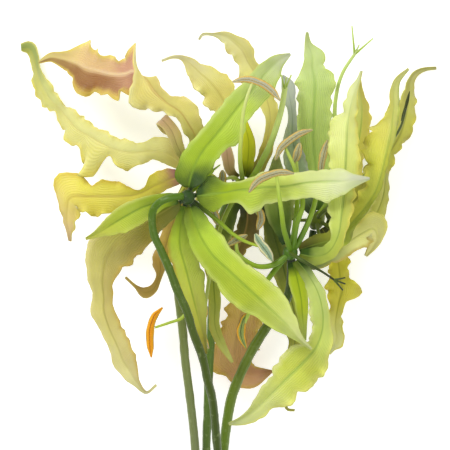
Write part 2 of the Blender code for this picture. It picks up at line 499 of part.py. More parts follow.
def join_pieces(base, pieces):
    """Fuse the pieces into the base by one union, and remove them."""
    union = base.modifiers.new("fused", "BOOLEAN")
    union.operation = "UNION"
    union.operand_type = "COLLECTION"
    union.collection = pieces
    bpy.context.view_layer.update()
    fused = bpy.data.meshes.new_from_object(base.evaluated_get(bpy.context.evaluated_depsgraph_get()))
    base.modifiers.remove(union)
    tidy = bmesh.new()
    tidy.from_mesh(fused)
    bmesh.ops.remove_doubles(tidy, verts=tidy.verts[:], dist=MERGE)
    bmesh.ops.dissolve_degenerate(tidy, edges=tidy.edges[:], dist=MERGE)
    tidy.to_mesh(fused)
    tidy.free()
    base.data = fused
    for piece in list(pieces.objects):
        bpy.data.objects.remove(piece, do_unlink=True)
    bpy.data.collections.remove(pieces)


def finish_round(piece, material):
    """One material, and smooth shading over the shallow edges."""
    piece.data.materials.clear()
    piece.data.materials.append(material)
    piece.data.shade_smooth()
    piece.data.set_sharp_from_angle(angle=SHARP_ANGLE)


def make_heart(name, bloom, material, mount, collection):
    """The receptacle with its style, stigma branches and stamens sunk into it."""
    centre = bloom["centre"]
    mesh = bpy.data.meshes.new(name)
    ball = bmesh.new()
    bmesh.ops.create_uvsphere(ball, u_segments=10, v_segments=6, radius=RECEPTACLE_RADIUS * MM)
    ball.to_mesh(mesh)
    ball.free()
    heart = bpy.data.objects.new(name, mesh)
    heart.parent = mount
    collection.objects.link(heart)
    pieces = make_collection(name + "_pieces")
    make_tube(name + "_style", bloom["style"], centre, STYLE_RADIUS, pieces)
    root, fork = bloom["style"][-2:]
    inside = Vector(fork).lerp(Vector(root), BRANCH_ROOT)
    for i, tip in enumerate(bloom["branches"]):
        label = f"{name}_branch_{i + 1}"
        make_tube(label, [inside, tip], centre, BRANCH_RADIUS, pieces, ends=BRANCH_ENDS, resolution=0)
    for i, (filament, anther) in enumerate(bloom["stamens"]):
        rooted = [centre, *filament]
        label = f"{name}_filament_{i + 1}"
        make_tube(label, rooted, centre, FILAMENT_RADIUS, pieces, ends=FILAMENT_ENDS)
        label = f"{name}_anther_{i + 1}"
        make_tube(label, anther, centre, ANTHER_RADIUS, pieces, step=ANTHER_STEP, ends=ANTHER_ENDS)
    join_pieces(heart, pieces)
    finish_round(heart, material)


def make_stem(name, rows, radius, material, collection, fork_rows=None):
    """A stem with its origin at its cut end and, where it forks, the side pedicel fused on."""
    cut_end = rows[-1]
    stem = make_tube(name, rows, cut_end, radius, collection, ends=STEM_ENDS, resolution=2)
    if fork_rows:
        fork = make_collection(name + "_fork")
        make_tube(name + "_pedicel", fork_rows, cut_end, FORK_RADIUS, fork)
        join_pieces(stem, fork)
    finish_round(stem, material)


def main():
    clear_scene()
    bunch = make_collection("glory_lily_bunch")
    heart_green = make_material(HEART)
    for bloom_name, (bloom, look) in BLOOMS.items():
        tepal_colour = make_material(look)
        mount = make_mount(f"{bloom_name}_bloom", bloom["centre"], bunch)
        for tepal_name, rows in bloom["tepals"].items():
            name = f"{bloom_name}_bloom_{tepal_name}_tepal"
            make_tepal(name, bloom["centre"], rows, tepal_colour, mount, bunch)
        make_heart(f"{bloom_name}_bloom_heart", bloom, heart_green, mount, bunch)
    stem_green = make_material(STEM)
    for bloom_name, rows in STEMS.items():
        make_stem(f"{bloom_name}_stem", rows, STEM_RADIUS, stem_green, bunch)
    make_stem("right_stem", RIGHT_STEM, FORKED_STEM_RADIUS, stem_green, bunch, BACK_PEDICEL)


main()
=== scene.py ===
"""Looks of the cut bunch of glory lilies: fine tepals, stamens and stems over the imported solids.

Every fine piece follows the same routes and widths as the solid that it stands for. Routes
are in millimetres: x to the right, y towards the upper tips and z above the surface.
"""
import math

import bmesh
import bpy
from mathutils import Matrix, Vector, noise


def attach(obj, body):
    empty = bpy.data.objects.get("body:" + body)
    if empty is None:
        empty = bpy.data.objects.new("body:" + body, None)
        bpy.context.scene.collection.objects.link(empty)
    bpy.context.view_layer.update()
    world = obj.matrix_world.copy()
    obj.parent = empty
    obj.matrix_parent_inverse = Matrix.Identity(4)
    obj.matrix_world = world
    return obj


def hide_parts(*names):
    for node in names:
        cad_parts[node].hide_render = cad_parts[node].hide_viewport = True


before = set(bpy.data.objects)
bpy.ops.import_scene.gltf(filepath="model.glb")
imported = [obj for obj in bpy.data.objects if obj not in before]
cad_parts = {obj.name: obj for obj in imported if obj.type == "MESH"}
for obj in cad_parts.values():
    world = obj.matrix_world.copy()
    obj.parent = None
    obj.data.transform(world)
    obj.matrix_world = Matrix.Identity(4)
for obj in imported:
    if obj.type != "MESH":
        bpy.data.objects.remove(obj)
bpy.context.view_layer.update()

MM = 0.001
# The route place that becomes the origin: under the middle of the bunch, on the surface.
MIDDLE = Vector((1.42, -17.25, -0.11))

# A tepal: the length of a facet, its claw at the receptacle, its least half width,
# the wave of its margins and how far they curve back from the midrib.
BLADE_STEP = 5.0
CLAW_START = 3.9
CLAW_RISE = 0.3
CLAW_HALF_WIDTH = 1.2
TIP_HALF_WIDTH = 0.5
WAVE_LENGTH = 19.0
WAVE_HEIGHT = 0.09
RIGHT_WAVE_SHIFT = 2.1
CUP = 0.16

# The stems' radii, and how far up the style's last stretch its branches start.
STEM_RADIUS = 1.7
FORKED_STEM_RADIUS = 2.0
FORK_RADIUS = 1.4
BRANCH_ROOT = 0.15

# How many points are read between two rows of a route.
SAMPLES = 12

# The colour slots of the part.
LIME = "tepal_lime"
YELLOW = "tepal_yellow"
PALE = "tepal_pale_green"
HEART = "heart_green"
STEM = "stem_green"

# Each bloom holds its centre and, for each tepal, rows of x, y, z, half width to the
# left, half width to the right and, where the blade twists, its turn in degrees.
FRONT_BLOOM = {
    "centre": (-15, 11, 66),
    "tepals": {
        "upper": [
            (-14, 17.5, 67, 4.4, 3.6), (-12, 24, 67, 6.4, 6.8), (-8.5, 30, 65.5, 6, 6.6),
            (-4.5, 35, 63.5, 5.6, 7), (-0.5, 40, 62, 5.6, 9.6), (3, 44.5, 61, 5.4, 6.8),
            (6.5, 49, 60, 5.2, 6.8), (11.5, 55, 59, 4.4, 7.2),
            (16.5, 61, 60, 4, 6.4), (21, 65, 62, 3, 3), (26, 68, 64, 0.5, 0.5)],
        "right": [
            (-7.5, 12, 65, 4.4, 4.6), (-4.5, 12.5, 64, 7, 6.6), (0, 13, 62.5, 4.6, 4.8),
            (5, 14, 61, 3.6, 5.2), (10, 14.5, 60, 4.4, 10.4), (15, 15, 60, 6, 7.2),
            (24, 15.5, 60, 5.2, 6), (33, 17, 61, 4.4, 6.4), (41, 17.5, 62, 4.8, 8),
            (47, 17.5, 64, 4.8, 5.2), (51.5, 18, 65, 2.4, 2.8), (57.5, 18.5, 67, 0.5, 0.5)],
        "lower_right": [
            (-12, 1, 66, 4.8, 3.6), (-9, -6, 65, 7.2, 5.2), (-4.5, -12.5, 64, 7.6, 6),
            (2, -18.5, 63, 6.8, 8), (9.5, -25.5, 62, 7.6, 8.8), (17.5, -33, 61, 8, 6.4),
            (24.5, -39.5, 61, 4.8, 4.4), (29.5, -45, 62, 1.6, 1.6), (34.5, -49.5, 63, 0.5, 0.5)],
        "lower": [
            (-17.5, 1, 61, 2.4, 2.6), (-18, -8, 58, 4.8, 5.2), (-15.5, -18, 54, 6, 5.2),
            (-13, -28, 51, 5.6, 4.4), (-10.5, -38, 49, 3.2, 3.2), (-8.5, -46, 48, 1.2, 1.6),
            (-7.5, -51.5, 48, 0.5, 0.5)],
        "lower_left": [
            (-25, 5, 61, 4.4, 3), (-33, 0.5, 57, 8, 5.6), (-41, -5, 52, 9.8, 9),
            (-47, -12.5, 49, 8.8, 9.5), (-49, -21, 47, 5, 6.6), (-48.5, -30, 45, 3.6, 4.6),
            (-48.5, -34, 45, 4, 6), (-46.5, -41, 44, 4.8, 4.2), (-42.5, -50, 43, 5.4, 4),
            (-41, -54, 43, 6, 5), (-38.5, -58, 43, 3.8, 4.4), (-35.5, -63, 44, 1.6, 1.8),
            (-31.5, -67, 46, 0.6, 0.6), (-27.5, -64, 49, 0.5, 0.5)],
        "left": [
            (-25, 9.5, 67, 3.2, 3.2), (-33, 7, 67, 5.6, 4), (-40.5, 3, 66, 6, 4.4),
            (-47, -1, 64, 3.6, 2.8), (-51.5, -4, 61, 1.2, 1.6), (-55.5, -5.5, 59, 0.5, 0.5)],
    },
    "style": [(-15, 11, 64), (-14, 13, 58), (-9, 17, 55), (-5, 22, 52)],
    "branches": [(-4, 26, 52), (-2, 24, 50), (-7, 25, 49)],
    "stamens": [
        ([(-16, 8, 62), (-17, -6, 53), (-15.5, -22, 46.5), (-15, -32, 45), (-17, -37, 45),
          (-22, -39, 45), (-28, -41, 45)],
         [(-25, -33, 45), (-28.5, -37, 45), (-30, -43, 45), (-29.5, -53, 45)]),
        ([(-12, 9, 62), (-7, 5, 58), (-2, 1, 57), (3, -3.5, 56), (8, -6.5, 55), (15, -9, 55)],
         [(12, -3.5, 55), (14, -7, 55), (17, -11, 55), (19, -14.5, 55)]),
        ([(-14, 14, 62), (-8, 25, 57), (0, 37, 54), (8, 45, 52)],
         [(5, 41, 52), (8, 45, 52), (13, 49, 52)]),
        ([(-18, 9, 62), (-20, 4, 54), (-28, -2, 49), (-38, -7, 46)],
         [(-34, -3, 46), (-38, -7, 46), (-42, -11, 44.5)]),
        ([(-13, 8, 62), (-7, -4, 57), (0, -14, 56), (9, -24, 54)],
         [(5, -21, 54), (9, -24, 54), (14, -30, 54)]),
        ([(-11, 12, 62), (0, 13, 57), (10, 14, 56), (18, 14.5, 56)],
         [(14, 16, 56), (18, 14.5, 56), (24, 13.5, 56)]),
    ],
}
LEFT_BLOOM = {
    "centre": (-13, 21, 40),
    "tepals": {
        "far_left": [
            (-22, 27.5, 40, 3, 4), (-26, 29, 40, 3.6, 6.8), (-31.5, 29.5, 39.5, 4, 4.4),
            (-36.5, 29, 38, 5.8, 4.6), (-41, 29.5, 37, 6.4, 4.4), (-46, 31, 34.5, 3.6, 4.4),
            (-49, 32.5, 33, 12.5, 4.4), (-52.5, 34.5, 30.5, 14, 4.4), (-55.5, 36.2, 28.5, 5.6, 4.4),
            (-59.5, 38.5, 26, 8, 5.2),
            (-63.5, 43, 22, 5.6, 4), (-67, 47.5, 17, 2.4, 2.4), (-71, 51, 12, 5, 3.8),
            (-74.5, 58, 8, 4.4, 2.8), (-76, 63.5, 5, 3, 1.6), (-77, 68.5, 2.8, 2.8, 2),
            (-79, 71.5, 1.5, 2.6, 2.8), (-82.5, 71.5, 0.9, 1.2, 1.8)],
        "red_faced": [
            (-11, 33, 48, 3.2, 3.2), (-14.5, 40, 51, 3.2, 5.4), (-18, 45, 52, 3, 6),
            (-23.5, 49, 51, 6, 3.6), (-28.5, 54, 49, 10.5, 3.6), (-31, 58, 46, 8, 3.4, 40),
            (-33.5, 60.5, 42.5, 4.4, 3.6, 120), (-36.5, 61.5, 38.5, 9.5, 6.4, 175),
            (-40, 60.5, 34.5, 7, 10, 180), (-45, 60.5, 31, 7.6, 8.4, 180),
            (-51, 62, 28, 7, 10.4, 180), (-55, 63, 26, 7, 11.4, 180),
            (-59, 65, 23, 9.4, 7.6, 180), (-62, 66, 21, 5, 5.6, 180),
            (-66, 67, 20, 2.8, 3.2, 180), (-70, 67.5, 19, 2, 2, 180),
            (-75, 65.5, 18, 0.5, 0.5, 180)],
        "left": [
            (-23, 17.5, 38, 2.8, 4.4), (-28.5, 15.5, 37.3, 3.2, 4.2), (-32.5, 13.5, 36.7, 3.4, 1.2),
            (-37, 12, 36, 4.8, 2.6), (-43, 11.5, 35, 6.4, 6.2), (-48.5, 11.5, 34, 8, 7),
            (-54, 11.5, 33, 7.2, 6.2), (-62, 11, 31, 5.6, 10.5), (-63.5, 6.5, 27, 5.4, 5.2),
            (-63.5, 1, 23, 4.8, 2.8), (-63, -3, 20, 1.8, 1.4), (-62.5, -6.5, 18, 0.8, 0.8)],
        "upper": [
            (-5, 30, 35, 3.2, 3.2), (-1, 39, 35, 4.8, 4.8), (0.5, 47, 35, 6.4, 5.6),
            (-2.5, 53, 34, 6.8, 6.8), (-6.5, 58, 33, 6.4, 6), (-10, 61, 32, 5.2, 4.8),
            (-13, 64, 31, 3.2, 2.8), (-17, 67, 29, 1.2, 1.2), (-21, 67.5, 27, 0.7, 0.7),
            (-25.5, 66, 26, 0.5, 0.5)],
        "curled": [
            (-19, 6, 40, 2.8, 2.8), (-23, -6, 36, 3.2, 3.2), (-25.5, -15, 33, 2.4, 3.6),
            (-26.5, -21, 31, 1.2, 1.2), (-29, -26, 30, 1.6, 2), (-32.5, -27, 30, 2.4, 2),
            (-35.5, -25, 29, 0.8, 0.8), (-40, -21, 28, 0.5, 0.5)],
        "hooked": [
            (-18.8, 31, 45.8, 2.2, 2.4), (-21.3, 37.5, 46, 2.4, 2.8), (-25, 42, 43.5, 2.4, 2.6),
            (-26, 41.5, 38, 2.2, 2.2), (-23.5, 38, 34.5, 1.8, 1.8), (-21, 36, 33.5, 0.5, 0.5)],
    },
    "style": [(-13, 21, 42), (-11, 20, 46), (-6, 20, 47), (-3, 18, 47)],
    "branches": [(0, 20, 48), (0.5, 17, 46), (-2, 14, 48)],
    "stamens": [
        ([(-16, 20, 35), (-22, 17.5, 31.5), (-29, 15.5, 30)],
         [(-25, 16, 30.5), (-29, 15, 30), (-35, 13, 30)]),
        ([(-16, 23, 36), (-22, 27, 34), (-29, 29, 33)],
         [(-26, 28.5, 33.5), (-31, 29.5, 32.5), (-37, 29.5, 31)]),
        ([(-14, 19, 42), (-17, 14, 46), (-21, 8, 47)], [(-17, 7, 47), (-21, 8, 47), (-25, 10, 47)]),
        ([(-12, 19, 42), (-11, 13, 46), (-12, 6, 47)], [(-8, 5, 47), (-12, 6, 47), (-16, 5, 47)]),
        ([(-11, 20, 42), (-7, 14, 45), (-3, 9, 46)], [(-6, 6, 46), (-3, 9, 46), (-1, 13, 46)]),
        ([(-9, 23, 43), (-5.5, 27, 43.5), (-4.5, 33, 43)], [(-5, 29, 43), (-4.5, 33, 43), (-4, 37, 43)]),
    ],
}
RIGHT_BLOOM = {
    "centre": (26, -11, 50),
    "tepals": {
        "upper": [
            (35, -12.5, 52, 2.8, 2.8), (41, -11, 54, 3.2, 3.2), (45, -4.5, 56, 3.2, 3.2),
            (46.5, 4, 57, 6.4, 3.6), (47.5, 12, 57, 8, 4.8), (48, 22, 57, 7.6, 5.6),
            (48.5, 32, 56, 7.6, 5.2), (49, 40.5, 55, 8.2, 4), (49.5, 44.5, 55, 3.2, 3.8),
            (50.2, 48, 55, 3, 3.6), (51.5, 53, 54, 2.8, 1.6), (53.5, 58, 53, 1.2, 0.8),
            (54.5, 61.5, 52, 0.5, 0.5)],
        "far_right": [
            (37, -7.5, 46, 3.2, 3.2), (45, -5, 45, 3.6, 3.6), (51.5, 1.5, 46, 3.6, 2),
            (56.5, 7.5, 48, 5.2, 1.6), (60.5, 14, 49, 5.6, 1.6), (63, 22, 50, 6.8, 1.6),
            (65, 30, 50, 9.6, 1.6), (66.5, 37, 49, 8.8, 2), (67, 43, 48, 3.6, 2.8),
            (67.5, 48, 47, 1.8, 2.4), (67.5, 53, 46, 1.6, 2), (69, 58, 46, 1.2, 1.4),
            (73.5, 62.5, 45, 0.5, 0.5)],
        "long_lower": [
            (33, -19.5, 53, 2, 2.4), (37, -26.5, 54, 2.4, 4.2), (39, -34, 54, 2.4, 4.8),
            (39, -41, 53, 3.2, 4), (36.5, -48.5, 52, 6.4, 4), (32, -54, 51, 9.4, 7.2),
            (26, -60, 50, 9, 7.2), (19, -67, 50, 7, 4.4), (12.5, -73.5, 50, 4.4, 2.6),
            (7, -77.5, 51, 2.6, 1.4), (1.5, -79.5, 52, 0.5, 0.5)],
        "short_lower": [
            (29, -22, 48, 3.2, 3.6), (30.5, -30, 48, 2.8, 2.8), (31, -37, 48, 2, 2),
            (31.5, -42, 49, 1.2, 1.2), (32, -46, 49, 0.5, 0.5)],
        "upper_left": [
            (23, -2, 46, 3.2, 3.2), (21.5, 5, 43, 5, 6.4), (21.5, 12, 41, 5, 6.4),
            (21, 18, 41, 4, 4), (20.5, 24, 42, 2.4, 2.4), (21, 29, 43, 0.5, 0.5)],
        "right": [
            (36, -15, 44, 3.2, 2.8), (43, -11.5, 42, 3.6, 4), (50, -6.5, 40, 3.6, 5),
            (55.5, -3, 39, 4, 6.2), (59.5, -1.5, 38, 6.4, 5), (61, -5, 36, 3.2, 3.2),
            (59, -9, 34, 2, 2), (56.5, -12.5, 33, 0.8, 0.8)],
    },
    "style": [(26, -11, 52), (29, -13, 56), (34, -16, 57), (38.5, -18.5, 57), (44.5, -22.5, 57)],
    "branches": [(48, -23.5, 57), (47, -26, 56), (48, -21, 58)],
    "stamens": [
        ([(26, -10, 52), (23.5, -2, 59), (22.5, 5, 64.5), (21.5, 12, 65.5), (20.5, 20, 66)],
         [(9.5, 13, 66.5), (12.5, 17, 66.5), (16.5, 19.5, 66.5), (22, 21, 66.5), (27.5, 20.5, 67)]),
        ([(27, -9, 52), (28.5, 0, 54), (31, 8.5, 54), (28, 22, 54), (24, 31, 56)],
         [(20, 26, 57), (22.5, 31, 57), (26, 34, 57), (30, 36.5, 57), (35, 38, 57)]),
        ([(25, -12, 51), (19, -16, 51), (13, -16.5, 51), (8, -14, 51), (5, -11, 51), (4.5, -6, 51)],
         [(1, -8, 51), (4.5, -6, 51), (9, -4, 51)]),
        ([(28, -9, 51), (34, 3, 50), (37, 14, 50), (39, 27, 50)],
         [(38, 20, 50), (39, 27, 50), (41, 34, 50)]),
        ([(27, -7, 51), (28.5, 4, 49.5), (29, 15, 48), (28.5, 27, 47)],
         [(27, 24, 47), (28.5, 27, 47), (30, 33, 47)]),
        ([(24, -13, 50), (17, -22, 47), (12, -30, 44), (7.5, -40, 42)],
         [(10, -35, 42), (7.5, -38, 42), (6.5, -44, 42), (8.5, -49.5, 42)]),
    ],
}
MIDDLE_BLOOM = {
    "centre": (7, 15.5, 42),
    "tepals": {
        "upper": [
            (14, 24, 38, 2.4, 2.4), (17, 35, 36, 1.6, 3), (18, 45, 35, 2.2, 3.6),
            (15.5, 54, 34, 6, 3.6), (12, 61, 33, 5.6, 3.6), (9, 66, 32, 4, 3.2),
            (7, 70, 31, 5.2, 4.4), (4, 73, 30, 4.4, 3.6), (0.5, 75.5, 29, 2.8, 2.8),
            (-4.5, 76.5, 28, 0.8, 0.8), (-9, 76.5, 27, 0.6, 0.6), (-10.5, 74.5, 26, 0.5, 0.5)],
        "narrow": [
            (9, 25, 44, 2.6, 2.8), (9.5, 33, 43, 2.8, 2.4), (8, 40, 42, 2.4, 1.6),
            (5, 48, 41, 1.6, 1.2), (3, 53, 40, 0.5, 0.5)],
        "lower": [
            (1, 2, 38, 3.2, 3.2), (-3, -10, 36, 4, 4), (-4.5, -22, 36, 3.2, 3.2),
            (-4, -32, 37, 2.4, 2.4), (-4, -40, 38, 1.8, 2.4), (-1.5, -47, 39, 1.6, 2),
            (3, -55, 40, 0.5, 0.5)],
        "red_lower": [
            (9, 4, 33, 4.4, 2.8), (8, -3, 30, 5.4, 4), (5, -11, 27.5, 3.6, 4), (5, -18, 25.5, 4.4, 4.4),
            (7.5, -27, 22, 7, 6.4), (6.5, -36, 18, 9.6, 6.4), (4.5, -46, 15, 9.6, 6.8), (4, -53, 13, 9, 9),
            (7, -58.5, 12, 5.6, 7.2), (11.5, -60.5, 12, 3.6, 5), (15.5, -60, 12, 2.4, 2.4),
            (19, -59, 12, 0.5, 0.5)],
        "lower_right": [
            (16, 8, 35, 2.2, 2.2), (20, -5, 28, 4, 4), (23.5, -17, 23, 4.4, 4.4),
            (26.5, -29, 20, 4, 4), (28.5, -40, 18, 3.6, 3.6), (27, -56, 18, 2, 2),
            (24.5, -69, 19, 0.8, 0.8), (25, -74, 20, 0.6, 0.6), (28, -74.5, 21, 0.5, 0.5)],
        "hooked": [
            (2, 22, 44, 2, 2), (1, 27, 44, 2.4, 2.4), (0.5, 31, 43, 2, 2),
            (-0.5, 31, 40.5, 1.6, 1.6), (-1.5, 29, 39.5, 0.5, 0.5)],
    },
    "style": [(8, 16, 44), (11, 19, 46), (15, 26, 48), (18, 32, 50), (20.5, 39, 50),
              (22.5, 46, 50), (24, 55, 50)],
    "branches": [(26.5, 60, 50), (22.5, 60, 51), (24.5, 59, 53)],
    "stamens": [
        ([(7, 18, 46), (6.5, 21, 54), (6, 25.5, 62), (6, 30, 65.5), (6.5, 36, 66.5), (7, 43, 66.5),
          (8.5, 50, 66.5), (11, 57, 66.5)],
         [(3, 57, 66.5), (8, 58, 66.5), (13, 57, 66.5), (18, 54, 66.5), (22, 49.5, 66.5)]),
        ([(5, 13, 43), (-1, 1, 42), (-5, -14, 42.5), (-7, -26, 43), (-8.8, -40, 43)],
         [(-7, -32.5, 43), (-9, -38, 43), (-9, -44, 43), (-6.5, -49.5, 43)]),
        ([(8, 13, 44), (11, 8, 47), (14, 3, 49)], [(13.5, 7, 49), (14.5, 3, 49), (13, -2, 49)]),
        ([(10, 15.5, 45), (15, 14.5, 47.5), (22, 14, 48)], [(21, 10, 48), (22, 14, 48), (22, 19, 48)]),
        ([(5, 15, 44), (-1, 9, 49), (-4, 4, 51)], [(-6, 8, 51), (-4, 4, 51), (-3, 0, 51)]),
        ([(6, 17, 44), (3, 19, 50), (-1, 18, 52)], [(-1, 22, 52), (-1, 18, 52), (-2, 14, 52)]),
    ],
}
BACK_BLOOM = {
    "centre": (37, 2, 25),
    "tepals": {
        "broad": [
            (37, 13, 27, 4, 4), (36.5, 22, 28, 6, 5.6), (35.5, 32, 29, 7.2, 7.2),
            (35.5, 42, 29, 7.2, 7.6), (36, 51, 29, 7.2, 7.2), (36, 58, 29, 7.2, 8),
            (35, 63.5, 28, 4, 4.8), (35, 68, 28, 3.2, 5.2), (33.5, 72.5, 27, 1.6, 1.6),
            (33, 77.5, 26, 0.5, 0.5)],
        "upper_right": [
            (44, 12, 24, 3, 3), (51, 24, 23, 4.8, 4.4), (54, 35, 23, 4.8, 3.6),
            (55, 43, 23, 4, 3.6), (55, 49, 23, 2.4, 2.4), (54, 54, 23, 1.6, 1.6),
            (54, 60, 23, 0.5, 0.5)],
        "far_right": [
            (50, 8, 19.5, 3, 3), (60, 19, 14, 4.8, 4.6), (67, 30, 10, 4.2, 3.8),
            (71, 37, 7, 5.6, 4.4), (73, 43.5, 5, 4.2, 3.6), (74, 48.5, 3.6, 3.4, 4),
            (74.5, 53, 2.6, 2.8, 2.8), (75, 58, 1.6, 1.4, 1.6), (77.5, 61.5, 1, 1.2, 1.2),
            (81, 63, 0.7, 0.8, 0.8), (85.5, 63.5, 0.5, 0.6, 0.6)],
        "upper_left": [
            (31, 13, 32, 3.6, 3.6), (29, 25, 34, 5, 3.8), (27, 36, 35, 3, 2.4),
            (27, 44, 35, 1.6, 1.6), (26, 51, 35, 2.8, 2.4), (25, 56, 35, 2.4, 2.8),
            (23, 60, 35, 0.5, 0.5)],
        "right": [
            (49, -2, 17, 2.8, 2.8), (59, 2, 12, 4.4, 6.2), (63.5, 10, 8, 4, 3.4),
            (65, 19, 6, 2.6, 2), (66, 26, 4, 1.8, 1.4), (67.5, 31, 3, 0.5, 0.5)],
        "lower": [
            (43, -8, 20, 3.2, 3.2), (45.5, -15, 19, 4.4, 4), (46.5, -22, 18, 4, 5.6),
            (47, -26.6, 18, 8.6, 6), (46, -31, 17.4, 3.2, 4.6), (44.5, -40, 17, 3.4, 3.6),
            (45, -46, 17, 3.6, 3.6), (43, -49.5, 17, 1.6, 2), (42, -52, 17, 0.5, 0.5)],
    },
    "style": [
        (37, 3, 26), (41.5, 10, 29.5), (44, 20, 28), (44.2, 34, 27), (44.4, 50, 26), (47, 60.5, 26),
        (53, 70, 26)],
    "branches": [(51, 80, 26), (59.5, 75, 26), (54, 72.5, 20)],
    "stamens": [
        ([(38.5, 4.5, 30), (48, 12, 30), (58, 22, 28), (65, 31, 23), (70.5, 39, 16.5), (73, 47, 12.5)],
         [(71, 42, 13.5), (73, 48, 12), (74.5, 54, 10.5)]),
        ([(37, 0, 28), (38, -6, 31), (38, -13, 32)], [(35, -12, 32), (38, -13, 32), (42, -13, 32)]),
        ([(34, 2, 24), (29, 2, 22), (25, 3, 21)], [(26, 7, 21), (25, 3, 21), (24, -1, 21)]),
        ([(36, 5, 22), (35, 14, 20), (33, 27, 20), (31, 37, 20)],
         [(32, 33, 20), (31, 37, 20), (29, 42, 20)]),
        ([(39, 1, 27), (46, -4, 28), (52, -8, 27)], [(50, -11, 27), (52, -8, 27), (55, -5, 27)]),
        ([(38.4, 5.3, 21.6), (44.5, 15, 17.6), (50, 26, 17), (52, 34, 17)],
         [(50, 31, 17), (52, 34, 17), (53, 39, 17)]),
    ],
}
BLOOMS = {
    "front": (FRONT_BLOOM, LIME),
    "left": (LEFT_BLOOM, YELLOW),
    "right": (RIGHT_BLOOM, PALE),
    "middle": (MIDDLE_BLOOM, YELLOW),
    "back": (BACK_BLOOM, PALE),
}

# Each stem runs from just clear of its bloom's receptacle to its cut end.
STEMS = {
    "front": [
        (-17, 11.5, 71.5), (-21, 11, 73.5), (-26, 9, 73), (-28.5, 6, 71), (-29, 1, 69.5),
        (-28, -4.5, 68), (-25.5, -10, 66.5), (-22, -18, 65), (-19, -26, 62.5), (-15, -35, 60),
        (-13, -42, 57.5), (-9, -53, 52), (-7, -62, 47), (-5, -70, 42), (-3, -90, 30), (0, -112, 17)],
    "left": [
        (-13.5, 17.5, 36), (-15, 8, 34), (-18, -5, 33), (-19.5, -18, 34), (-18.5, -30, 34),
        (-17, -42, 33), (-16, -54, 31), (-14, -70, 27), (-12, -90, 21), (-11.5, -112, 14)],
    "middle": [
        (4.5, 14.5, 36.5), (1.5, 10, 33), (-2, 1, 28), (-4, -14, 24), (-5, -30, 23), (-6, -51, 24),
        (-6.5, -60, 24), (-7, -75, 21), (-7.5, -90, 16), (-7, -112, 9)],
}
RIGHT_STEM = [
    (26.5, -14, 46), (26.5, -20, 41), (25, -29, 35), (16, -42, 29), (10, -52, 26), (4.5, -64, 23),
    (2.5, -70, 20.5), (1, -78, 16.5), (-0.5, -90, 10.5), (-1.5, -102, 5.3), (-2.5, -114, 1.8)]

# The back bloom hangs from a side pedicel that leaves the right stem.
BACK_PEDICEL = [(35.5, -2.5, 23), (34, -9, 25), (30, -19, 30), (25.5, -28, 34.5), (22, -33, 33)]


def blend(before, start, end, after, knots, at):
    """The Catmull-Rom value at one place between start and end, on uneven knots."""
    k0, k1, k2, k3 = knots
    a1 = (before * (k1 - at) + start * (at - k0)) / (k1 - k0)
    a2 = (start * (k2 - at) + end * (at - k1)) / (k2 - k1)
    a3 = (end * (k3 - at) + after * (at - k2)) / (k3 - k2)
    b1 = (a1 * (k2 - at) + a2 * (at - k0)) / (k2 - k0)
    b2 = (a2 * (k3 - at) + a3 * (at - k1)) / (k3 - k1)
    return (b1 * (k2 - at) + b2 * (at - k1)) / (k2 - k1)


def smooth_rows(rows, step):
    """Rows of equal columns, evenly spaced along a smooth curve through the given rows.

    The first three columns are the place. Every column follows the same curve.
    """
    rows = [Vector(row) for row in rows]
    rows = [rows[0] * 2 - rows[1]] + rows + [rows[-1] * 2 - rows[-2]]
    knots = [0.0]
    for a, b in zip(rows, rows[1:]):
        knots.append(knots[-1] + math.sqrt((b.xyz - a.xyz).length))
    fine = []
    for i in range(1, len(rows) - 2):
        for k in range(SAMPLES):
            at = knots[i] + (knots[i + 1] - knots[i]) * k / SAMPLES
            fine.append(blend(*rows[i - 1:i + 3], knots[i - 1:i + 3], at))
    fine.append(rows[-2])
    lengths = [0.0]
    for a, b in zip(fine, fine[1:]):
        lengths.append(lengths[-1] + (b.xyz - a.xyz).length)
    count = max(4, round(lengths[-1] / step))
    even = []
    i = 0
    for k in range(count + 1):
        target = lengths[-1] * k / count
        while i < len(fine) - 2 and lengths[i + 1] < target:
            i += 1
        part = (target - lengths[i]) / (lengths[i + 1] - lengths[i])
        even.append(fine[i].lerp(fine[i + 1], part))
    return even


def add_claw(centre, rows):
    """The tepal's rows with its narrow claw first, which starts just clear of the receptacle."""
    full = [tuple(row) + (0,) * (6 - len(row)) for row in rows]
    centre = Vector(centre)
    towards = Vector(full[0][:3]) - centre
    flat = Vector((towards.x, towards.y, 0)).normalized()
    start = centre + flat * CLAW_START
    start.z += CLAW_RISE * towards.z
    return [(*start, CLAW_HALF_WIDTH, CLAW_HALF_WIDTH, full[0][5])] + full


def blade_frames(stations):
    """The place, side and face direction at each station, carried along without twist."""
    places = [Vector(row[:3]) for row in stations]
    face = Vector((0, 0, 1))
    frames = []
    for i, place in enumerate(places):
        ahead = places[min(i + 1, len(places) - 1)] - places[max(i - 1, 0)]
        ahead.normalize()
        face = (face - ahead * face.dot(ahead)).normalized()
        turn = Matrix.Rotation(math.radians(stations[i][5]), 3, ahead)
        turned = turn @ face
        frames.append((place, turned.cross(ahead), turned))
    return frames


def margin_wave(side, length, half_width):
    """How far a tepal's crisped margin stands off its midrib plane."""
    shift = 0.0 if side > 0 else RIGHT_WAVE_SHIFT
    return WAVE_HEIGHT * half_width * side * side * math.sin(2 * math.pi * length / WAVE_LENGTH + shift)


# How the fine tepals go beyond the solids: facets, thickness, the midrib's groove, the wider
# claw, and the crisped margin's frill and lobes.
FINE_STEP = 0.9
FINE_ACROSS = 22
FINE_BLADE = 0.4
FINE_TIP = 0.16
GROOVE_DEPTH = 0.45
GROOVE_WIDTH = 0.9
CLAW_SPREAD = 0.6
RUFFLE_LENGTH = 8.5
RUFFLE_HEIGHT = 0.24
LOBE_LENGTH = 9.5
LOBE_WIDTH = 0.26

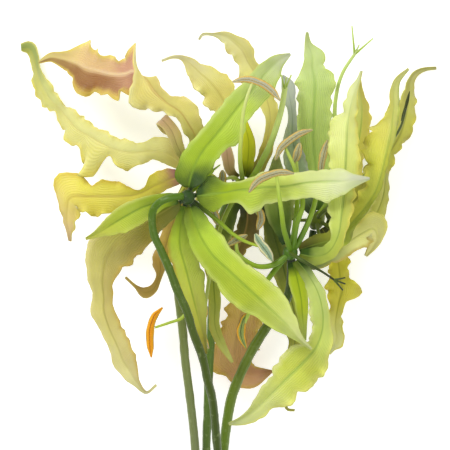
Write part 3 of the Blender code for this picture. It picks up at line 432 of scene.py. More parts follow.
# The fine round pieces: widths from root to end, sides, facet length and roughness of outline.
RECEPTACLE_WIDTHS = [1.2, 2.6, 3.0, 2.7, 1.4]
RECEPTACLE_RIPPLE = 0.25
OVARY_REACH = 0.4
FILAMENT_WIDTHS = [1.0, 0.95, 0.85, 0.75, 0.5]
ANTHER_WIDTHS = [0.35, 1.25, 1.45, 1.5, 1.45, 1.2, 0.3]
ANTHER_FLATNESS = 0.72
ANTHER_RIPPLE = 0.18
STEM_RIPPLE = 0.1
THIN_SIDES = 10
STYLE_SIDES = 12
ANTHER_SIDES = 16
RECEPTACLE_SIDES = 18
STEM_SIDES = 20
FORK_SIDES = 16
SHORT_STEP = 0.5
BRANCH_STEP = 0.7
ROUND_STEP = 1.0
STEM_STEP = 1.5

# How aged a tepal's skin is, which sets its patches and how deep the painted shade in its folds is.
YOUNG = 0.0
MATURE = 0.5
INNER_AGE = 0.8

# The room: its size in metres, its lights and the camera over the blooms.
FLOOR_HALF_WIDTH = 3.0
FLOOR_GLOW = 0.4
WORLD_STRENGTH = 0.55
LIGHTS = [
    ("key_light", (-0.8, 1.0, 1.3), 0.6, 17.0),
    ("fill_light", (1.1, -0.2, 1.3), 1.0, 5.0),
    ("top_light", (0.1, -0.9, 1.6), 1.0, 5.0),
]
VIEW_WIDTH = 0.180
CAMERA_HEIGHT = 4.0
BLOOM_HEIGHT = 0.045

WHITE = (1.0, 1.0, 1.0, 1.0)

# The tints that the materials mix in.
PATCH_TINT = "#c8a83c"
# Painted shade for the hollows of a tepal's frill and a painted highlight for its crests.
FOLD_SHADE_TINT = "#a89a3c"
CREST_HIGHLIGHT_TINT = "#fbfae0"
# A painted sheen on the blades.
PAINTED_SHEEN_TINT = "#fbf8d0"
STREAK_TINT = "#dfe6a8"
GRAIN_TINT = "#e8e0c0"
STEM_LINE_TINT = "#b8cc80"
STEM_SPECK_TINT = "#a8b878"
FLOOR_TINTS = ("#fbfbfa", "#f7f7f6")

# Each tepal's colours from its claw to its tip, then its left margin, its right margin and
# its midrib, and how crisped its margins are. The dark claw colours, and the dark low colours
# of the tepals deep in the bunch, are partly painted shade at the blooms' centres and between them.
COLOURS = {
    "front_upper": ("#365210", "#9fba12", "#b9d04f", "#cbd2b1", "#c8d67c", "#bed264", "#7f9c20", 0.3),
    "front_right": ("#365412", "#a7c01c", "#d3e271", "#e8ead4", "#dfe89a", "#d6e28c", "#8ba83c", 0.4),
    "front_lower_right": ("#365410", "#b4d03c", "#bcca3c", "#d7de9c", "#d4e084", "#c8d668", "#86a428", 0.3),
    "front_lower": ("#5c7c14", "#bcd43c", "#d4dc56", "#bcae46", "#a4ac4c", "#c0962a", "#86a030", 0.35),
    "front_lower_left": ("#5c7a14", "#8c8818", "#d0c678", "#dcd69c", "#c8ac50", "#dcd08c", "#a89c4c", 0.45),
    "front_left": ("#33540a", "#94ac16", "#b4c23a", "#d2d25c", "#c4cc58", "#ccd070", "#6c8c14", 0.35),
    "left_far_left": ("#9aa044", "#d9d362", "#e3df6a", "#b4c66c", "#f0eca6", "#ece690", "#c4b850", 0.95),
    "left_red_faced": ("#9a9840", "#d8ce74", "#dccc7c", "#e2d68c", "#eee4a0", "#e8d890", "#c4a858", 0.95),
    "left_left": ("#a4a64a", "#d9cf6c", "#e2d480", "#eadca2", "#f0e8a8", "#ece294", "#cba854", 0.95),
    "left_upper": ("#9ca048", "#dcd468", "#e2da88", "#e2dcb4", "#ece498", "#e8dc7c", "#c8bc64", 0.95),
    "left_curled": ("#7c7c24", "#c0a850", "#c8a656", "#d4b868", "#d8c078", "#ccac64", "#9c8440", 0.7),
    "left_hooked": ("#8a8434", "#ccc474", "#c8a87c", "#dcc890", "#dccc88", "#ccb870", "#a8925c", 0.6),
    "right_upper": ("#3c5c10", "#b8ca58", "#dae27e", "#ecf4b4", "#e6f090", "#dcd058", "#8ea444", 0.85),
    "right_far_right": ("#26400c", "#8c9c2c", "#ccce54", "#d4d68c", "#d8cc58", "#98a440", "#94a43c", 1.35),
    "right_long_lower": ("#345410", "#c4d680", "#c4cc50", "#cbd292", "#dcdc74", "#dadc98", "#92ac48", 0.9),
    "right_short_lower": ("#2f4e0a", "#b2c622", "#c0ce30", "#c8d870", "#c0cc50", "#c8d468", "#7c9c20", 0.35),
    "right_upper_left": ("#26400e", "#5c7824", "#8c9c44", "#b0b878", "#a8b064", "#a8b064", "#42601a", 0.5),
    "right_right": ("#23380c", "#5c7018", "#ecec90", "#e8e090", "#e4dc70", "#c4a83c", "#a8ac48", 1.0),
    "middle_upper": ("#74702c", "#d4c85c", "#e0d884", "#dedcae", "#e8e098", "#e0d474", "#c0b46c", 0.9),
    "middle_narrow": ("#6c7414", "#ccd01c", "#d8dc28", "#d8d44c", "#d4cc48", "#c4b430", "#a4ac14", 0.5),
    "middle_lower": ("#26380c", "#5c6e1c", "#b8c054", "#c8cc70", "#c4c868", "#c4b850", "#6c8428", 0.6),
    "middle_red_lower": ("#4c5c14", "#a69a36", "#b47c4e", "#c69c6a", "#d0bc74", "#ccb464", "#94803a", 0.95),
    "middle_lower_right": ("#26360a", "#4c5c14", "#a4aa40", "#a8a050", "#b8bc58", "#b0ac4c", "#4c6018", 0.7),
    "middle_hooked": ("#6c6428", "#b49c68", "#c4a07c", "#d4b896", "#dcc8a0", "#d4bc90", "#a08458", 0.5),
    "back_broad": ("#5c7c28", "#b4cc6c", "#b9cc76", "#ccdc9c", "#ccdc8c", "#ccdc80", "#98b458", 0.75),
    "back_upper_right": ("#5c7424", "#bac854", "#ccd060", "#d4d484", "#dcd468", "#d8c458", "#94a840", 1.1),
    "back_far_right": ("#5c6820", "#aeaa3c", "#bab84c", "#ccc880", "#d2cc68", "#beb44c", "#8c8c34", 1.5),
    "back_upper_left": ("#4c602c", "#8ca47c", "#a6b494", "#c2c8bc", "#b8c0a8", "#b0b4ac", "#748c64", 0.8),
    "back_right": ("#4c5c1c", "#a4a83c", "#bcbc54", "#c8c878", "#ccc870", "#b0a848", "#848c30", 0.8),
    "back_lower": ("#4c5010", "#c0b820", "#d4cc48", "#e0e2a4", "#dcd048", "#d8c440", "#a09c28", 1.6),
}

# The inner face of a mature tepal, claw to tip, then its margins and midrib. The middle
# bloom's red lower tepal's dark claw and low colours are partly painted shade under its bloom.
INNER_COLOURS = {
    "left_red_faced": ("#c4a070", "#b8784c", "#cc9c80", "#e4d088", "#ecd870", "#e0c860", "#e4cca4"),
    "left_left": ("#a8746c", "#d4c848", "#e8dc5c", "#dcbc88", "#e8d85c", "#d0b444", "#c8b450"),
    "left_far_left": ("#c0b468", "#e0dc90", "#dcd88c", "#a4b060", "#e8d868", "#e8dc80", "#d4ca7c"),
    "middle_red_lower": ("#26300c", "#5c5a1c", "#d4b460", "#cc9c78", "#d0b850", "#c8a448", "#b08c54"),
}

# The one tepal whose blade turns right over, so that its two materials change sides.
TURNED_OVER = "left_red_faced"

# A half of a blade in another tint: its colour, its side (1 is left) and how strong it is.
# The darker greens on the front bloom's tepals are painted shade on the half of a fold
# turned from the light; the red-brown half of the left bloom's red-faced tepal is its own colour.
HALF_TINTS_AND_PAINTED_SHADE = {
    "front_lower_right": ("#8fa01c", -1, 0.5),
    "front_right": ("#9ab020", -1, 0.35),
    "front_upper": ("#8ea40c", 1, 0.4),
    "front_left": ("#7f9612", -1, 0.45),
    "front_lower": ("#6e7a3c", 1, 0.4),
    "front_lower_left": ("#b09454", 1, 0.3),
    "left_red_faced": ("#8c5824", -1, 0.9),
    "right_right": ("#8c8a2c", 1, 0.4),
    "right_long_lower": ("#a4ae34", -1, 0.4),
    "right_far_right": ("#c8b83c", 1, 0.4),
    "right_upper": ("#b8b43c", -1, 0.35),
    "back_far_right": ("#9c9430", 1, 0.5),
    "back_upper_right": ("#c0a83c", -1, 0.5),
    "middle_upper": ("#b8b058", -1, 0.45),
    "left_upper": ("#ccc060", 1, 0.4),
    "left_far_left": ("#ccc058", 1, 0.4),
    "middle_red_lower": ("#a06c48", 1, 0.3),
}

# Each heart: the receptacle's two colours, the style's two and the filaments' three.
# The front and right receptacles are darkened with painted shade at the bloom's centre, over their own
# green.
HEART_COLOURS = {
    "front": (("#2c4816", "#1c3010"), ("#7c9a1c", "#a4bf38"), ("#2c4412", "#84a01c", "#a8bc3c")),
    "left": (("#6f7c1c", "#a4a02c"), ("#7c8428", "#b8b854"), ("#6f7c1c", "#a8a838", "#c0bc64")),
    "right": (("#223610", "#4c701c"), ("#4c6018", "#23270f"), ("#587c14", "#8ca828", "#b4c858")),
    "middle": (("#2f4410", "#6c8418"), ("#84a02c", "#c0d07c"), ("#7c9420", "#b0c050", "#ccd488")),
    "back": (("#465412", "#6c7c1c"), ("#98b044", "#bcd078"), ("#4c5a14", "#66741c", "#343f12")),
}
STYLE_WIDTHS = {
    "front": [1.1, 1.0, 0.95, 0.9],
    "left": [1.1, 1.0, 0.95, 0.9],
    "right": [1.0, 0.8, 0.5, 0.42],
    "middle": [1.3, 1.25, 1.2, 1.1],
    "back": [1.1, 0.95, 0.8, 0.62],
}
BRANCH_WIDTHS = [0.55, 0.42, 0.34, 0.3]
FILAMENT_SCALES = {"front": 1.0, "left": 0.9, "right": 1.2, "middle": 1.0, "back": 0.8}

# The anthers of each bloom: a name, which stamens, how wide, then edge, back and groove colours.
ANTHER_SETS = {
    "front": [
        ("orange_anther", (0,), 1.0, ("#e4a41c", "#dc8c08", "#8c5804")),
        ("broad_anther", (1,), 1.3, ("#dcd6a8", "#88a084", "#566a4c")),
        ("anthers", (2, 3, 4, 5), 1.0, ("#b8a468", "#98946c", "#6c6444"))],
    "left": [("anthers", (0, 1, 2, 3, 4, 5), 0.9, ("#c4a45c", "#a09868", "#706440"))],
    "right": [
        ("anthers", (0, 1, 2, 3, 4), 1.05, ("#c4a860", "#a0a080", "#7c6c3c")),
        ("edged_anther", (5,), 1.1, ("#cc9424", "#80904c", "#3c4a1c"))],
    "middle": [("anthers", (0, 1, 2, 3, 4, 5), 1.05, ("#d0ac58", "#a8a890", "#94804c"))],
    "back": [
        ("thin_anther", (0,), 0.4, ("#3c4414", "#343c12", "#1c200a")),
        ("anthers", (1, 2, 3, 4, 5), 0.8, ("#8c8c3c", "#6c7034", "#3c3c18"))],
}
STEM_COLOURS = {
    "front_stem": ("#4e7004", "#445406", "#3f5018"),
    "left_stem": ("#5c7030", "#727d42", "#788156"),
    "middle_stem": ("#5c7c20", "#587222", "#506824"),
    "right_stem": ("#2f440c", "#6a7e22", "#587414"),
}


def linear(text):
    """A display colour in hex as Blender's linear numbers."""
    parts = [int(text[i:i + 2], 16) / 255 for i in (1, 3, 5)]
    bent = [part / 12.92 if part <= 0.04045 else ((part + 0.055) / 1.055) ** 2.4 for part in parts]
    return (*bent, 1.0)


class Look:
    """A Principled material whose colour, roughness and bump come from nodes."""

    def __init__(self, name, roughness, subsurface):
        self.material = bpy.data.materials.new(name)
        self.material.use_nodes = True
        self.tree = self.material.node_tree
        self.shader = self.tree.nodes["Principled BSDF"]
        self.shader.inputs["Subsurface Weight"].default_value = subsurface
        self.shader.inputs["Subsurface Radius"].default_value = (0.9, 1.0, 0.3)
        self.shader.inputs["Subsurface Scale"].default_value = 0.0012
        self.shader.inputs["Specular IOR Level"].default_value = 0.35
        self.shader.inputs["Roughness"].default_value = roughness

    def node(self, kind, settings=None, inputs=None):
        node = self.tree.nodes.new(kind)
        for key, value in (settings or {}).items():
            setattr(node, key, value)
        for key, value in (inputs or {}).items():
            if isinstance(value, bpy.types.NodeSocket):
                self.tree.links.new(value, node.inputs[key])
            else:
                node.inputs[key].default_value = value
        return node

    def sums(self, operation, a, b=0.0, c=0.0):
        """One step of arithmetic on sockets or numbers."""
        return self.node("ShaderNodeMath", {"operation": operation}, {0: a, 1: b, 2: c}).outputs[0]

    def attribute(self, name):
        return self.node("ShaderNodeAttribute", {"attribute_name": name}).outputs["Fac"]

    def mix(self, factor, a, b, way="MIX"):
        """Colour a with b laid over it by the factor."""
        settings = {"data_type": "RGBA", "blend_type": way}
        return self.node("ShaderNodeMix", settings, {0: factor, 6: a, 7: b}).outputs[2]

    def between(self, value, low, high):
        """0 below low, 1 above high, and smooth between them."""
        settings = {"interpolation_type": "SMOOTHSTEP"}
        return self.node("ShaderNodeMapRange", settings, {0: value, 1: low, 2: high}).outputs[0]

    def noise(self, scale, detail=3.0):
        place = self.node("ShaderNodeTexCoord").outputs["Object"]
        inputs = {"Vector": place, "Scale": scale, "Detail": detail}
        return self.node("ShaderNodeTexNoise", None, inputs).outputs[0]

    def ramp(self, value, stops):
        node = self.node("ShaderNodeValToRGB", None, {0: value})
        elements = node.color_ramp.elements
        while len(elements) < len(stops):
            elements.new(0.5)
        for element, (place, colour) in zip(elements, stops):
            element.position = place
            element.color = colour
        return node.outputs[0]

    def bump(self, height, distance):
        node = self.node("ShaderNodeBump", None, {"Height": height, "Distance": distance, "Strength": 0.8})
        self.tree.links.new(node.outputs[0], self.shader.inputs["Normal"])

    def colour(self, socket):
        self.tree.links.new(socket, self.shader.inputs["Base Color"])

    def roughness(self, socket):
        self.tree.links.new(socket, self.shader.inputs["Roughness"])


def tepal_look(name, colours, age_and_fold_shade, half_tint_and_painted_shade=None):
    """Colour along the blade, paler margins, a green midrib, fine parallel veins, mottling, and painted
    shade, highlights and sheen.
    """
    look = Look(name, 0.45, 0.3)
    along = look.attribute("along")
    across = look.attribute("across")
    side = look.sums("ABSOLUTE", across)
    drift = look.sums("MULTIPLY_ADD", look.noise(70.0), 0.24, -0.12)
    place = look.sums("ADD", along, drift)
    claw, low, middle, tip, left, right, rib = [linear(text) for text in colours]
    # The dark claw colours are partly painted shade at the bloom's centre.
    body = look.ramp(place, [(0.03, claw), (0.17, low), (0.58, middle), (0.97, tip)])
    # A half of the blade in another tint; on the front bloom the darker green half is painted shade on the
    # side of the fold turned from the light.
    if half_tint_and_painted_shade:
        tint_and_painted_shade, turned, strength = half_tint_and_painted_shade
        share = look.between(look.sums("MULTIPLY", across, turned), -0.05, 0.25)
        share = look.sums("MULTIPLY", share, look.between(look.noise(38.0, 2.0), 0.2, 0.6))
        body = look.mix(look.sums("MULTIPLY", share, strength), body, linear(tint_and_painted_shade))
    leftness = look.between(across, -0.2, 0.2)
    margin = look.mix(leftness, right, left)
    edge = look.sums("MULTIPLY", look.between(side, 0.62, 1.0), look.between(along, 0.08, 0.35))
    body = look.mix(look.sums("MULTIPLY", edge, 0.8), body, margin)
    groove = look.sums("SUBTRACT", 1.0, look.between(side, 0.0, 0.16))
    fade = look.sums("SUBTRACT", 1.0, look.between(along, 0.55, 1.0))
    body = look.mix(look.sums("MULTIPLY", look.sums("MULTIPLY", groove, fade), 0.75), body, rib)
    wander = look.sums("MULTIPLY", look.noise(220.0), 7.0)
    veins = look.sums("SINE", look.sums("MULTIPLY_ADD", across, 64.0, wander))
    veins = look.sums("MULTIPLY_ADD", veins, 0.5, 0.5)
    faint = look.sums("MULTIPLY", look.between(look.noise(90.0), 0.35, 0.75), 0.2)
    body = look.mix(look.sums("MULTIPLY", veins, faint), body, rib, "MULTIPLY")
    patches = look.between(look.noise(45.0, 2.0), 0.55, 0.75)
    body = look.mix(look.sums("MULTIPLY", patches, 0.06 + 0.3 * age_and_fold_shade), body, linear(PATCH_TINT), "MULTIPLY")
    # Painted shade in the hollows of the margin's frill and a painted highlight on its crests.
    ridge = look.attribute("ridge")
    fold_shade_mask = look.between(look.sums("MULTIPLY", ridge, -1.0), 0.15, 1.1)
    body = look.mix(look.sums("MULTIPLY", fold_shade_mask, 0.2 + 0.3 * age_and_fold_shade), body, linear(FOLD_SHADE_TINT), "MULTIPLY")
    crest_highlight_mask = look.sums("MULTIPLY", look.between(ridge, 0.2, 1.2), 0.5)
    body = look.mix(crest_highlight_mask, body, linear(CREST_HIGHLIGHT_TINT), "SOFT_LIGHT")
    # A painted sheen in soft patches, which also sets the roughness.
    light = look.between(look.noise(160.0, 4.0), 0.25, 0.8)
    body = look.mix(look.sums("MULTIPLY", light, 0.16), body, linear(PAINTED_SHEEN_TINT), "SOFT_LIGHT")
    look.colour(body)
    look.roughness(look.sums("MULTIPLY_ADD", light, 0.18, 0.4))
    look.bump(look.sums("MULTIPLY_ADD", look.noise(900.0), 0.5, veins), 0.00016)
    return look.material


def filament_look(name, colours):
    """Colours from root to end, with pale streaks."""
    look = Look(name, 0.4, 0.15)
    drift = look.sums("MULTIPLY_ADD", look.noise(90.0), 0.24, -0.12)
    place = look.sums("ADD", look.attribute("along"), drift)
    last = len(colours) - 1
    body = look.ramp(place, [(0.1 + 0.85 * i / last, linear(text)) for i, text in enumerate(colours)])
    streaks = look.between(look.noise(420.0, 3.0), 0.35, 0.75)
    body = look.mix(look.sums("MULTIPLY", streaks, 0.25), body, linear(STREAK_TINT), "SOFT_LIGHT")
    look.colour(body)
    look.roughness(look.sums("MULTIPLY_ADD", streaks, 0.2, 0.32))
    look.bump(streaks, 0.0001)
    return look.material


def anther_look(name, colours):
    """A dusty back between pale edges, a dark groove along the middle and grains all over."""
    look = Look(name, 0.8, 0.05)
    edge, back, groove = [linear(text) for text in colours]
    spread = look.sums("COSINE", look.attribute("around"))
    spread = look.sums("ADD", spread, look.sums("MULTIPLY_ADD", look.noise(300.0), 0.5, -0.25))
    side = look.sums("ABSOLUTE", spread)
    body = look.mix(look.between(side, 0.45, 0.7), back, edge)
    body = look.mix(look.between(side, 0.9, 1.0), body, groove)
    line = look.sums("ABSOLUTE", look.sums("SUBTRACT", spread, 0.12))
    body = look.mix(look.sums("SUBTRACT", 1.0, look.between(line, 0.04, 0.16)), body, groove)
    grains = look.noise(1900.0, 2.0)
    body = look.mix(look.between(grains, 0.45, 0.7), body, linear(GRAIN_TINT), "SOFT_LIGHT")
    look.colour(body)
    look.roughness(look.sums("MULTIPLY_ADD", grains, 0.2, 0.65))
    look.bump(grains, 0.00025)
    return look.material


def stem_look(name, colours):
    """Colours from the bloom to the cut end, with fine lines along the stem and pale specks."""
    look = Look(name, 0.4, 0.08)
    top, middle, low = [linear(text) for text in colours]
    drift = look.sums("MULTIPLY_ADD", look.noise(40.0), 0.3, -0.15)
    place = look.sums("ADD", look.attribute("along"), drift)
    body = look.ramp(place, [(0.0, top), (0.5, middle), (1.0, low)])
    lines = look.sums("SINE", look.sums("MULTIPLY", look.attribute("around"), 14.0))
    lines = look.sums("MULTIPLY_ADD", lines, 0.5, 0.5)
    body = look.mix(look.sums("MULTIPLY", lines, 0.2), body, linear(STEM_LINE_TINT), "SOFT_LIGHT")
    specks = look.between(look.noise(500.0, 4.0), 0.55, 0.75)
    body = look.mix(look.sums("MULTIPLY", specks, 0.25), body, linear(STEM_SPECK_TINT))
    look.colour(body)
    look.roughness(look.sums("MULTIPLY_ADD", specks, 0.2, 0.33))
    look.bump(look.sums("MULTIPLY_ADD", lines, 0.5, specks), 0.00015)
    return look.material


def place_piece(piece, slot, *nodes):
    """Puts the piece on the part's one body, in place of the nodes that it remakes; its slot is not used."""
    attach(piece, "root")
    if nodes:
        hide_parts(*nodes)


def crisp(length, side, amount, seed):
    """The small frill on a margin: how far it lifts and how much wider the blade is, as shares."""
    shift = seed * 1.7 + (0.0 if side > 0 else 2.6)
    drift = noise.noise(Vector((length * 0.09, shift, 0.4))) * 4.0
    wild = 0.5 + 1.3 * abs(noise.noise(Vector((length * 0.06, shift, 3.1))))
    ruffle = math.sin(2 * math.pi * length / RUFFLE_LENGTH + shift + drift)
    ruffle += 0.9 * noise.noise(Vector((length * 0.37, shift, 5.2)))
    lobe = 0.8 * abs(math.sin(math.pi * length / LOBE_LENGTH + shift + drift)) - 0.5
    lobe += 1.1 * noise.noise(Vector((length * 0.19, shift, 7.3)))
    lobe += 0.7 * noise.noise(Vector((length * 0.5, shift, 9.4)))
    return amount * wild * ruffle, amount * lobe


def fine_tepal(name, centre, rows, amount, seed):
    """A thin blade along the solid's own route, with a sunk midrib and a crisped margin."""
    stations = smooth_rows(add_claw(centre, rows), FINE_STEP)
    frames = blade_frames(stations)
    last = len(stations) - 1
    total = sum((frames[i + 1][0] - frames[i][0]).length for i in range(last))
    coarse = max(4, round(total / BLADE_STEP)) * BLADE_STEP
    mesh = bpy.data.meshes.new(name)
    grid = bmesh.new()
    bmesh.ops.create_grid(grid, x_segments=FINE_ACROSS, y_segments=last, size=1.0)
    along = grid.verts.layers.float.new("along")
    across = grid.verts.layers.float.new("across")
    ridge = grid.verts.layers.float.new("ridge")
    for vertex in grid.verts:
        side = vertex.co.x
        part = (vertex.co.y + 1) / 2
        index = round(part * last)
        place, left, face = frames[index]
        length = part * coarse
        half = stations[index][3] if side > 0 else stations[index][4]
        half = max(half, TIP_HALF_WIDTH + (FINE_TIP - TIP_HALF_WIDTH) * max(0.0, 12 * part - 11))
        half *= 1 + CLAW_SPREAD * max(0.0, 1 - part * 9)
        held = amount * min(1.0, part * 5) * min(1.0, (1 - part) * 7) * min(1.0, half / 3)
        ruffle, lobe = crisp(length, side, held, seed)
        lift = margin_wave(side, length, half) - CUP * half * side * side
        lift += RUFFLE_HEIGHT * ruffle * half * abs(side) ** 3
        lift -= GROOVE_DEPTH * min(1.0, half / 4) * math.exp(-(side * half / GROOVE_WIDTH) ** 2)
        reach = side * half * (1 + LOBE_WIDTH * lobe * abs(side))
        vertex[along] = part
        vertex[across] = side
        vertex[ridge] = ruffle * side * side
        vertex.co = (place + left * reach + face * lift - MIDDLE) * MM
    for face in grid.faces:
        face.smooth = True
    grid.to_mesh(mesh)
    grid.free()
    piece = bpy.data.objects.new(name, mesh)
    bpy.context.collection.objects.link(piece)
    solid = piece.modifiers.new("thickness", "SOLIDIFY")
    solid.thickness = FINE_BLADE * MM
    solid.offset = 0.0
    return piece


def add_sweep(shell, rows, widths, thick, sides, step, ripple=0.0):
    """A closed tube in the mesh: widths runs from the first row to the last, thick is its flatness."""
    layers = [shell.verts.layers.float.get(name) or shell.verts.layers.float.new(name)
              for name in ("along", "across", "around")]
    stations = smooth_rows([(*row, *([0] * (6 - len(row)))) for row in rows], step)
    frames = blade_frames(stations)
    last = len(frames) - 1
    rings = []
    for index, (place, left, face) in enumerate(frames):
        part = index / last
        spot = part * (len(widths) - 1)
        low = min(int(spot), len(widths) - 2)
        width = widths[low] + (widths[low + 1] - widths[low]) * (spot - low)
        width *= 1 + ripple * noise.noise(place * 0.35)
        ring = []
        for k in range(sides):
            angle = 2 * math.pi * k / sides
            pinch = 1 - (1 - thick) * 0.5 * math.cos(angle) ** 8
            out = left * math.cos(angle) * width + face * math.sin(angle) * width * thick * pinch
            vertex = shell.verts.new((place + out - MIDDLE) * MM)
            vertex[layers[0]] = part
            vertex[layers[1]] = math.sin(angle)
            vertex[layers[2]] = abs(2 * k / sides - 1) * math.pi
            ring.append(vertex)
        rings.append(ring)
    for a, b in zip(rings, rings[1:]):
        for k in range(sides):
            shell.faces.new((a[k], a[(k + 1) % sides], b[(k + 1) % sides], b[k]))
    shell.faces.new(rings[0][::-1])
    shell.faces.new(rings[-1])


def close_shell(shell, name, material):
    """The finished mesh as an object: smooth sides, flat ends."""
    bmesh.ops.recalc_face_normals(shell, faces=shell.faces[:])
    for face in shell.faces:
        face.smooth = len(face.verts) == 4
    mesh = bpy.data.meshes.new(name)
    shell.to_mesh(mesh)
    shell.free()
    mesh.materials.append(material)
    piece = bpy.data.objects.new(name, mesh)
    bpy.context.collection.objects.link(piece)
    return piece


def dress_receptacle(label, bloom, colours):
    """The receptacle with its ovary, a rounded body about the bloom's centre."""
    centre = Vector(bloom["centre"])
    ovary = centre.lerp(Vector(bloom["style"][1]), OVARY_REACH)
    rows = [centre - (ovary - centre), centre, ovary]
    shell = bmesh.new()
    add_sweep(shell, rows, RECEPTACLE_WIDTHS, 1.0, RECEPTACLE_SIDES, SHORT_STEP, RECEPTACLE_RIPPLE)
    piece = close_shell(shell, label + "_receptacle", filament_look(label + "_receptacle", colours))
    place_piece(piece, HEART, label + "_heart")


def dress_style(label, bloom, widths, colours):
    """The style with its three branches, which start inside its end."""
    shell = bmesh.new()
    add_sweep(shell, bloom["style"], widths, 1.0, STYLE_SIDES, ROUND_STEP)
    root, fork = bloom["style"][-2:]
    inside = Vector(fork).lerp(Vector(root), BRANCH_ROOT)
    for tip in bloom["branches"]:
        bend = inside.lerp(Vector(tip), 0.55) + Vector((0, 0, 0.5))
        add_sweep(shell, [inside, bend, tip], BRANCH_WIDTHS, 1.0, THIN_SIDES, BRANCH_STEP)
    place_piece(close_shell(shell, label + "_style", filament_look(label + "_style", colours)), HEART)


def dress_filaments(label, bloom, scale, colours):
    """Six threads out of the receptacle."""
    centre = Vector(bloom["centre"])
    widths = [scale * width for width in FILAMENT_WIDTHS]
    shell = bmesh.new()
    for filament, _ in bloom["stamens"]:
        add_sweep(shell, [centre, *filament], widths, 1.0, THIN_SIDES, ROUND_STEP)
    piece = close_shell(shell, label + "_filaments", filament_look(label + "_filaments", colours))
    place_piece(piece, HEART)


def dress_anthers(label, bloom, stamens, scale, colours):
    """The anthers of some of the bloom's stamens, flattened and slightly uneven."""
    widths = [scale * width for width in ANTHER_WIDTHS]
    shell = bmesh.new()
    for index in stamens:
        rows = bloom["stamens"][index][1]
        add_sweep(shell, rows, widths, ANTHER_FLATNESS, ANTHER_SIDES, SHORT_STEP, ANTHER_RIPPLE)
    place_piece(close_shell(shell, label, anther_look(label, colours)), HEART)


def dress_heart(bloom_name, bloom):
    """The receptacle, the style, the filaments and the anthers, which stand for one solid."""
    label = f"{bloom_name}_bloom"
    ball, stalk, thread = HEART_COLOURS[bloom_name]
    dress_receptacle(label, bloom, ball)
    dress_style(label, bloom, STYLE_WIDTHS[bloom_name], stalk)
    dress_filaments(label, bloom, FILAMENT_SCALES[bloom_name], thread)
    for name, stamens, scale, colours in ANTHER_SETS[bloom_name]:
        dress_anthers(f"{label}_{name}", bloom, stamens, scale, colours)


def dress_stem(name, rows, radius, fork_rows=None):
    """A stem, a little thinner at the bloom, with its side pedicel if it has one."""
    shell = bmesh.new()
    widths = [radius * 0.85, radius, radius, radius]
    add_sweep(shell, rows, widths, 1.0, STEM_SIDES, STEM_STEP, STEM_RIPPLE)
    if fork_rows:
        widths = [FORK_RADIUS, FORK_RADIUS * 0.95]
        add_sweep(shell, fork_rows, widths, 1.0, FORK_SIDES, STEM_STEP, STEM_RIPPLE)
    piece = close_shell(shell, name + "_skin", stem_look(name + "_skin", STEM_COLOURS[name]))
    place_piece(piece, STEM, name)


def tepal_looks(label, key, age_and_fold_shade):
    """The materials of a blade's two faces, or one for both."""
    colours = COLOURS[key][:-1]
    tint_and_painted_shade = HALF_TINTS_AND_PAINTED_SHADE.get(key)
    if key not in INNER_COLOURS:
        return [tepal_look(label + "_outer", colours, age_and_fold_shade, tint_and_painted_shade)]
    outer = tepal_look(label + "_outer", colours, age_and_fold_shade)
    inner = tepal_look(label + "_inner", INNER_COLOURS[key], INNER_AGE, tint_and_painted_shade)
    return [inner, outer] if key == TURNED_OVER else [outer, inner]


def dress_tepals():
    """Every bloom's tepals, each with its own seed for its margins."""
    seed = 0
    for bloom_name, (bloom, slot) in BLOOMS.items():
        age_and_fold_shade = YOUNG if bloom_name == "front" else MATURE
        for tepal_name, rows in bloom["tepals"].items():
            seed += 1
            key = f"{bloom_name}_{tepal_name}"
            label = f"{bloom_name}_bloom_{tepal_name}"
            piece = fine_tepal(label + "_blade", bloom["centre"], rows, COLOURS[key][-1], seed)
            looks = tepal_looks(label, key, age_and_fold_shade)
            piece.modifiers["thickness"].material_offset = len(looks) - 1
            for material in looks:
                piece.data.materials.append(material)
            place_piece(piece, slot, label + "_tepal")


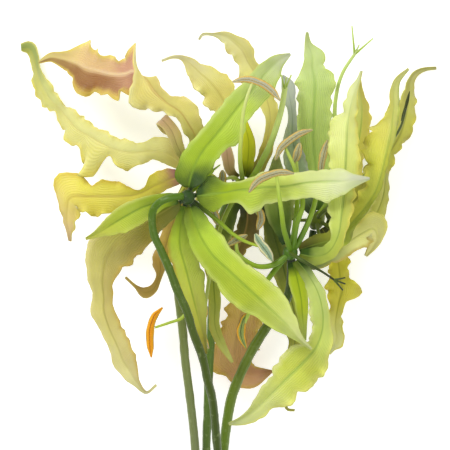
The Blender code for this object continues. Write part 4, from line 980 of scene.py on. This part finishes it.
def make_floor():
    """A white floor that glows a little, so that it shows white round the flowers."""
    floor_mesh = bpy.data.meshes.new("floor")
    shell = bmesh.new()
    bmesh.ops.create_grid(shell, x_segments=1, y_segments=1, size=FLOOR_HALF_WIDTH)
    shell.to_mesh(floor_mesh)
    shell.free()
    floor = bpy.data.objects.new("floor", floor_mesh)
    bpy.context.collection.objects.link(floor)
    look = Look("floor_white", 0.9, 0.0)
    look.colour(look.mix(look.noise(6.0), *[linear(tint) for tint in FLOOR_TINTS]))
    look.shader.inputs["Emission Color"].default_value = WHITE
    look.shader.inputs["Emission Strength"].default_value = FLOOR_GLOW
    floor_mesh.materials.append(look.material)


def light_scene():
    """An even white world and three broad lamps that point at the bunch."""
    world = bpy.data.worlds.new("studio")
    bpy.context.scene.world = world
    world.use_nodes = True
    back = world.node_tree.nodes["Background"]
    back.inputs["Color"].default_value = WHITE
    back.inputs["Strength"].default_value = WORLD_STRENGTH
    for name, place, size, power in LIGHTS:
        lamp = bpy.data.lights.new(name, "AREA")
        lamp.size = size
        lamp.energy = power
        thing = bpy.data.objects.new(name, lamp)
        thing.location = place
        thing.rotation_euler = (-Vector(place)).to_track_quat("-Z", "Y").to_euler()
        bpy.context.collection.objects.link(thing)


def set_tone():
    """A plain studio rendering of tones, without a film look that greys bright petals."""
    bpy.context.scene.view_settings.view_transform = "Standard"
    bpy.context.scene.view_settings.look = "None"
    bpy.context.scene.view_settings.exposure = 0.0


def place_camera():
    """Straight above, from far off, so that the view is 180 mm wide at the blooms."""
    data = bpy.data.cameras.new("camera")
    data.sensor_width = 36.0
    data.clip_end = 100.0
    data.lens = data.sensor_width * CAMERA_HEIGHT / VIEW_WIDTH
    camera = bpy.data.objects.new("camera", data)
    camera.location = (-MIDDLE.x * MM, -MIDDLE.y * MM, CAMERA_HEIGHT + BLOOM_HEIGHT)
    bpy.context.collection.objects.link(camera)
    bpy.context.scene.camera = camera


dress_tepals()
for bloom_name, (bloom, slot) in BLOOMS.items():
    dress_heart(bloom_name, bloom)
for bloom_name, rows in STEMS.items():
    dress_stem(f"{bloom_name}_stem", rows, STEM_RADIUS)
dress_stem("right_stem", RIGHT_STEM, FORKED_STEM_RADIUS, BACK_PEDICEL)
make_floor()
light_scene()
set_tone()
place_camera()
